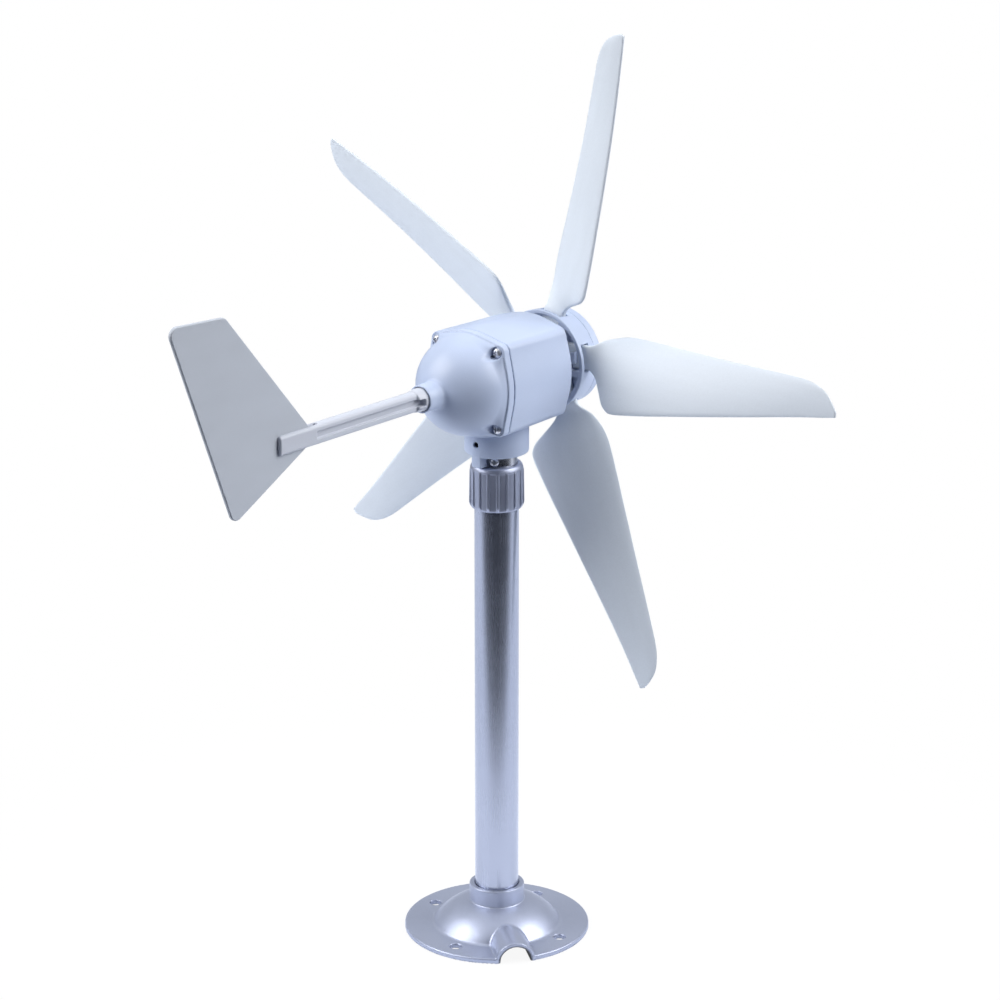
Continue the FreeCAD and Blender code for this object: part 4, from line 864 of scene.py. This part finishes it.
def make_floor():
    """A white floor that, like a table in a dim studio, lights the object only from near by: to the
    object it shows a painted pool of light, painted dark further off, and a painted glow.
    """
    corners = [(x * FLOOR_HALF, y * FLOOR_HALF, 0) for x, y in ((-1, -1), (1, -1), (1, 1), (-1, 1))]
    mesh = bpy.data.meshes.new("floor")
    mesh.from_pydata(corners, [], [(0, 1, 2, 3)])
    floor = new_object("floor", mesh)
    paint = bpy.data.materials.new("floor_white")
    paint.use_nodes = True
    tree = paint.node_tree
    tree.nodes.clear()
    white = add(tree, "BsdfDiffuse", {"Color": (*FLOOR_WHITE, 1)})
    glare = add(tree, "Emission", {"Color": (*WHITE, 1)})
    whiter = floor_ramp(tree, BACKDROP_NEAR, BACKDROP_FAR, BACKDROP_SHADE, WHITE)
    seen = add(tree, "MixShader", {0: whiter, 1: white.outputs[0], 2: glare.outputs[0]})
    # Painted pool of light on the floor, seen only by the object: bright near the mast and dark
    # beyond.
    top = floor_ramp(tree, *TABLE_REACH, TABLE_PAINTED_LIGHT, TABLE_PAINTED_SHADE, TABLE_BEHIND, TABLE_ASIDE)
    table = add(tree, "BsdfDiffuse", {"Color": top})
    # Painted glow: the floor near the mast gives off light, though it is no lamp.
    pool = floor_ramp(tree, GLOW_NEAR, GLOW_FAR, WHITE, BLACK)
    glow = add(tree, "Emission", {"Color": pool, "Strength": GLOW_STRENGTH})
    lit = add(tree, "AddShader", {0: table.outputs[0], 1: glow.outputs[0]})
    add(tree, "OutputMaterial", {"Surface": by_ray(tree, lit, seen).outputs[0]})
    mesh.materials.append(paint)


def around(azimuth, distance, height):
    """A spot at an angle from the camera's side of the object, to the camera's right."""
    turn = math.atan2(-CAMERA_SIGHT.y, -CAMERA_SIGHT.x) + math.radians(azimuth)
    return distance * math.cos(turn), distance * math.sin(turn), height


def make_lights():
    for name, (azimuth, distance, height, wide, tall, power) in SOFTBOXES.items():
        area_light(name, around(azimuth, distance, height), wide, tall, power)


# ------------------------ materials

# The sockets of a Mix node that carry its two colours and their mixture.
MIX_FIRST, MIX_SECOND, MIX_RESULT = 6, 7, 2


class Finish:
    """A material in the making: its Principled shader and the patterns that vary it.

    Patterns lie in the piece's own space, and their sizes are in millimetres."""

    def __init__(self, name, **sockets):
        self.material = bpy.data.materials.new(name)
        self.material.use_nodes = True
        self.tree = self.material.node_tree
        self.shader = self.tree.nodes["Principled BSDF"]
        for socket, value in sockets.items():
            self.shader.inputs[socket.replace("_", " ")].default_value = value
        self.place = self.add("TexCoord").outputs["Object"]
        self.normal = None

    def add(self, kind, inputs=None, **settings):
        return add(self.tree, kind, inputs, **settings)

    def math(self, operation, *values):
        return self.add("Math", dict(enumerate(values)), operation=operation).outputs[0]

    def split(self, vector=None):
        return self.add("SeparateXYZ", {0: vector or self.place}).outputs

    def scaled(self, vector, factors):
        return self.add("VectorMath", {0: vector, 1: factors}, operation="MULTIPLY").outputs[0]

    def lathe(self, axis, height=0.0):
        """Distance from a lathe's axis, and the way along it: patterns on these run in rings."""
        x, y, z = self.split()
        if axis == "Z":
            first, second, along = x, y, z
        else:
            first, second, along = y, self.math("SUBTRACT", z, height), x
        out = self.math("SQRT", self.math("ADD", self.math("MULTIPLY", first, first),
                                          self.math("MULTIPLY", second, second)))
        return self.add("CombineXYZ", {0: out, 1: along}).outputs[0]

    def grain(self, size, detail=2.0, vector=None, stretch=(1, 1, 1)):
        """Cloudy noise from 0 to 1, with features of one size."""
        spot = self.scaled(vector or self.place, [1.0 / (size * MM * way) for way in stretch])
        inputs = {"Vector": spot, "Scale": 1.0, "Detail": detail}
        return self.add("TexNoise", inputs).outputs["Fac"]

    def cells(self, size):
        """Distance to the middle of the nearest of many scattered cells."""
        spot = self.scaled(self.place, [1.0 / (size * MM)] * 3)
        return self.add("TexVoronoi", {"Vector": spot, "Scale": 1.0}).outputs["Distance"]

    def ranged(self, value, low, high, first=0.0, last=1.0):
        ends = {"From Min": low, "From Max": high, "To Min": first, "To Max": last}
        return self.add("MapRange", {"Value": value, **ends}).outputs["Result"]

    def tint(self, value, low, high, first, last):
        """From one colour to another as value goes from low to high."""
        return two_tone(self.tree, self.ranged(value, low, high), first, last).outputs["Color"]

    def tones(self, value, colour, first, last, low=0.3, high=0.7):
        """One colour times a factor that goes from first to last."""
        return self.tint(value, low, high, shade(colour, first), shade(colour, last))

    def mixed(self, factor, first, second):
        inputs = {"Factor": factor, MIX_FIRST: first, MIX_SECOND: second}
        return self.add("Mix", inputs, data_type="RGBA").outputs[MIX_RESULT]

    def attribute(self, name, output):
        return self.add("Attribute", attribute_name=name).outputs[output]

    def under(self):
        """1 on surfaces inside a casting, which get painted shade, and 0 outside."""
        return self.attribute("under", "Fac")

    def colour(self, value):
        self.tree.links.new(value, self.shader.inputs["Base Color"])

    def rough(self, value, low, high, first, last):
        level = self.ranged(value, low, high, first, last)
        self.tree.links.new(level, self.shader.inputs["Roughness"])

    def relief(self, height, depth):
        """Raise the surface by a pattern that is depth millimetres high."""
        inputs = {"Distance": depth * MM, "Height": height}
        if self.normal is not None:
            inputs["Normal"] = self.normal
        self.normal = self.add("Bump", inputs).outputs[0]
        self.tree.links.new(self.normal, self.shader.inputs["Normal"])


def shade(colour, factor):
    return tuple(channel * factor for channel in colour)


def white_paint():
    """Satin powder coat: orange peel, cloudy gloss, and painted shade, near black, on surfaces
    inside the casting.
    """
    look = Finish("white_paint", Coat_Weight=0.08, Coat_Roughness=0.3)
    colour, rough, peel = (0.54, 0.62, 0.80), 0.36, 0.012
    cloud = look.grain(38.0, 3.0)
    speck = look.grain(0.5, 3.0)
    paint = look.mixed(0.45, look.tones(cloud, colour, 0.965, 1.03),
                       look.tones(speck, colour, 0.93, 1.06, 0.25, 0.75))
    # Painted shade, near black, for the casting's surfaces inside holes.
    painted_shade = look.tint(look.grain(1.6, 4.0), 0.3, 0.7, (0.02, 0.021, 0.024), (0.04, 0.041, 0.045))
    look.colour(look.mixed(look.under(), paint, painted_shade))
    look.rough(look.math("ADD", look.grain(14.0, 3.0), look.math("MULTIPLY", speck, 0.4)),
               0.5, 0.95, rough - 0.05, rough + 0.08)
    look.relief(look.grain(1.7, 1.0), peel)
    look.relief(look.grain(0.35, 2.0), peel * 0.22)
    return look.material


def foot_paint():
    """Satin silver paint: fine flakes, cloudy gloss, and painted shade, near black, on surfaces
    inside the casting.
    """
    look = Finish("foot_paint", Metallic=0.7, Coat_Weight=0.12, Coat_Roughness=0.3)
    colour = (0.42, 0.455, 0.575)
    cloud = look.grain(30.0, 3.0)
    flake = look.cells(0.55)
    paint = look.mixed(0.5, look.tones(cloud, colour, 0.97, 1.03),
                       look.tones(flake, colour, 1.08, 0.94, 0.1, 0.75))
    # Painted shade, near black, for the foot's hollow, tunnel and holes, and the tunnel's lip.
    painted_shade = look.tint(look.grain(1.4, 4.0), 0.3, 0.7, (0.03, 0.032, 0.04), (0.06, 0.062, 0.072))
    look.colour(look.mixed(look.under(), paint, painted_shade))
    look.rough(look.math("ADD", look.grain(11.0, 3.0), look.math("MULTIPLY", flake, 0.3)),
               0.45, 0.9, 0.37, 0.47)
    look.relief(look.grain(2.2, 1.0), 0.01)
    look.relief(look.grain(0.45, 2.0), 0.003)
    return look.material


def pole_aluminium():
    """Anodised tube: fine lines drawn along it, and a cloudy satin gloss."""
    look = Finish("pole_aluminium", Metallic=0.88)
    colour = (0.46, 0.49, 0.59)
    lines = look.grain(0.25, 3.0, stretch=(1, 1, 260))
    broad = look.grain(2.2, 2.0, stretch=(1, 1, 120))
    cloud = look.grain(45.0, 3.0)
    drawn = look.math("ADD", look.math("MULTIPLY", lines, 0.7), look.math("MULTIPLY", broad, 0.3))
    look.colour(look.mixed(0.6, look.tones(cloud, colour, 0.96, 1.03),
                           look.tones(drawn, colour, 0.9, 1.08)))
    look.rough(look.math("ADD", drawn, cloud), 0.7, 1.3, 0.2, 0.31)
    look.relief(lines, 0.003)
    return look.material


def turned_metal(name, colour, rough, axis, height=0.0, groove=0.003, pitch=0.22, metal=0.95):
    """Metal off a lathe: rings of fine tool marks, and a few stains in the gloss."""
    look = Finish(name, Metallic=metal)
    rings = look.grain(pitch, 3.0, look.lathe(axis, height))
    bands = look.grain(pitch * 9, 2.0, look.lathe(axis, height))
    cloud = look.grain(7.0, 4.0)
    look.colour(look.mixed(0.5, look.tones(rings, colour, 0.86, 1.1),
                           look.tones(bands, colour, 0.94, 1.05)))
    look.rough(look.math("ADD", rings, cloud), 0.7, 1.3, rough - 0.05, rough + 0.09)
    look.relief(rings, groove)
    return look.material


def plated_steel(name, colour, rough, metal=1.0):
    """Small plated or blackened fasteners: speckled gloss, worn paler in places."""
    look = Finish(name, Metallic=metal)
    wear = look.grain(1.3, 4.0)
    speck = look.grain(0.16, 2.0)
    look.colour(look.mixed(0.6, look.tones(wear, colour, 0.85, 1.12, 0.35, 0.7),
                           look.tones(speck, colour, 0.92, 1.05)))
    look.rough(look.math("ADD", wear, speck), 0.7, 1.3, rough - 0.06, rough + 0.12)
    look.relief(speck, 0.0025)
    return look.material


def blade_nylon():
    """Moulded nylon: faint flow lines from the foot outward, and a soft grain."""
    look = Finish("blade_nylon", IOR=1.46)
    look.place = look.attribute("home", "Vector")
    colour = (0.79, 0.845, 0.905)
    flow = look.grain(9.0, 4.0, stretch=(1, 1, 5.5))
    speck = look.grain(1.3, 3.0)
    look.colour(look.mixed(0.5, look.tones(flow, colour, 0.965, 1.03),
                           look.tones(speck, colour, 0.965, 1.025)))
    look.rough(look.math("ADD", flow, look.math("MULTIPLY", speck, 0.5)), 0.55, 0.95, 0.4, 0.54)
    look.relief(look.grain(4.0, 1.0), 0.002)
    look.relief(flow, 0.03)
    return look.material


def moulded_plastic(name, colour, rough, grain, stretch, depth):
    """Matte plastic out of an etched mould: even fine grain over long faint flow streaks."""
    look = Finish(name, IOR=1.5)
    flow = look.grain(16.0, 4.0, stretch=stretch)
    etched = look.cells(grain)
    speck = look.grain(grain * 0.7, 3.0)
    look.colour(look.mixed(0.5, look.tones(flow, colour, 0.965, 1.03),
                           look.tones(speck, colour, 0.94, 1.04)))
    look.rough(look.math("ADD", flow, look.math("MULTIPLY", speck, 0.5)), 0.5, 1.0,
               rough - 0.05, rough + 0.08)
    look.relief(etched, depth)
    return look.material


def gasket_rubber():
    """Dusty dark rubber."""
    look = Finish("gasket_rubber", IOR=1.5)
    dust = look.grain(3.0, 4.0)
    speck = look.grain(0.3, 3.0)
    look.colour(look.mixed(0.5, look.tint(dust, 0.35, 0.7, (0.12, 0.13, 0.16), (0.2, 0.21, 0.24)),
                           look.tint(speck, 0.3, 0.7, (0.11, 0.12, 0.14), (0.17, 0.18, 0.2))))
    look.rough(dust, 0.3, 0.7, 0.55, 0.75)
    look.relief(speck, 0.01)
    return look.material


def bush_bronze():
    """Tinned sintered bronze: pale grains with darker pores between them."""
    look = Finish("bush_bronze", Metallic=1.0)
    pores = look.cells(0.4)
    oil = look.grain(4.0, 3.0)
    look.colour(look.mixed(0.6, look.tint(pores, 0.2, 0.8, (0.62, 0.55, 0.46), (0.3, 0.26, 0.2)),
                           look.tint(oil, 0.3, 0.7, (0.5, 0.44, 0.36), (0.64, 0.57, 0.48))))
    look.rough(look.math("ADD", pores, oil), 0.6, 1.3, 0.28, 0.46)
    look.relief(pores, -0.012)
    return look.material


def core_steel():
    """A stack of stamped sheets, each a millimetre thick, seen on its edges."""
    look = Finish("core_steel", Metallic=0.9)
    x, _, _ = look.split()
    sheet = look.math("PINGPONG", look.math("MULTIPLY", x, 1.0 / MM), 0.5)
    stain = look.grain(5.0, 4.0)
    look.colour(look.mixed(0.5, look.tint(sheet, 0.0, 0.2, (0.06, 0.06, 0.07), (0.27, 0.275, 0.3)),
                           look.tint(stain, 0.3, 0.7, (0.2, 0.19, 0.19), (0.3, 0.31, 0.34))))
    look.rough(stain, 0.3, 0.7, 0.36, 0.55)
    look.relief(look.math("MINIMUM", sheet, 0.12), 0.25)
    return look.material


def coil_copper():
    """Enamelled wire wound round the teeth: turns half a millimetre apart, with painted shade where
    neighbouring turns meet.
    """
    look = Finish("coil_copper", Metallic=0.85, Coat_Weight=0.7, Coat_Roughness=0.12)
    out, _, _ = look.split(look.lathe("X", AXIS * MM))
    turn = look.math("PINGPONG", look.math("MULTIPLY", out, 1.0 / MM), 0.25)
    heat = look.grain(6.0, 3.0)
    # Painted shade in the crevice where neighbouring turns meet.
    look.colour(look.mixed(0.5, look.tint(turn, 0.0, 0.2, (0.16, 0.045, 0.015), (0.68, 0.27, 0.11)),
                           look.tint(heat, 0.3, 0.7, (0.5, 0.17, 0.06), (0.7, 0.32, 0.15))))
    look.rough(heat, 0.3, 0.7, 0.22, 0.38)
    look.relief(turn, 0.5)
    return look.material


def make_finishes():
    """Every finish, under the name of the slot that it is for."""
    axis = AXIS * MM
    made = [
        foot_paint(), pole_aluminium(), blade_nylon(), gasket_rubber(), bush_bronze(),
        core_steel(), coil_copper(), white_paint(),
        turned_metal("polished_aluminium", (0.74, 0.77, 0.86), 0.24, "Z", groove=0.001, metal=0.75),
        turned_metal("machined_steel", (0.58, 0.59, 0.62), 0.24, "X", axis),
        turned_metal("plate_aluminium", (0.6, 0.61, 0.64), 0.34, "X", axis, 0.006, 0.4),
        turned_metal("bearing_steel", (0.6, 0.6, 0.62), 0.14, "X", axis, 0.0015, 0.15),
        plated_steel("screw_steel", (0.72, 0.73, 0.78), 0.27, 0.75),
        plated_steel("black_steel", (0.012, 0.012, 0.014), 0.5, 0.2),
        plated_steel("magnet_nickel", (0.6, 0.58, 0.55), 0.2),
        moulded_plastic("vane_plastic", (0.565, 0.60, 0.66), 0.5, 0.7, (3, 1, 1), 0.01),
        moulded_plastic("boom_plastic", (0.625, 0.65, 0.72), 0.36, 0.5, (6, 1, 1), 0.005),
    ]
    return {material.name.split(".")[0]: material for material in made}


def paint_nodes():
    """Give every piece and every CAD node the finish that its slot names."""
    made = make_finishes()
    for piece in list(bpy.data.objects):
        if piece.get("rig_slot") in made:
            piece.data.materials.clear()
            piece.data.materials.append(made[piece["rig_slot"]])
    for node in nodes.values():
        for slot in node.material_slots:
            slot.material = made[slot.material.name.split(".")[0]]


scene.view_settings.view_transform = "Standard"
make_camera()
make_world()
make_floor()
make_lights()
make_head_castings()
make_hub_castings()
make_foot()
make_small_castings()
make_fin()
make_blades()
paint_nodes()
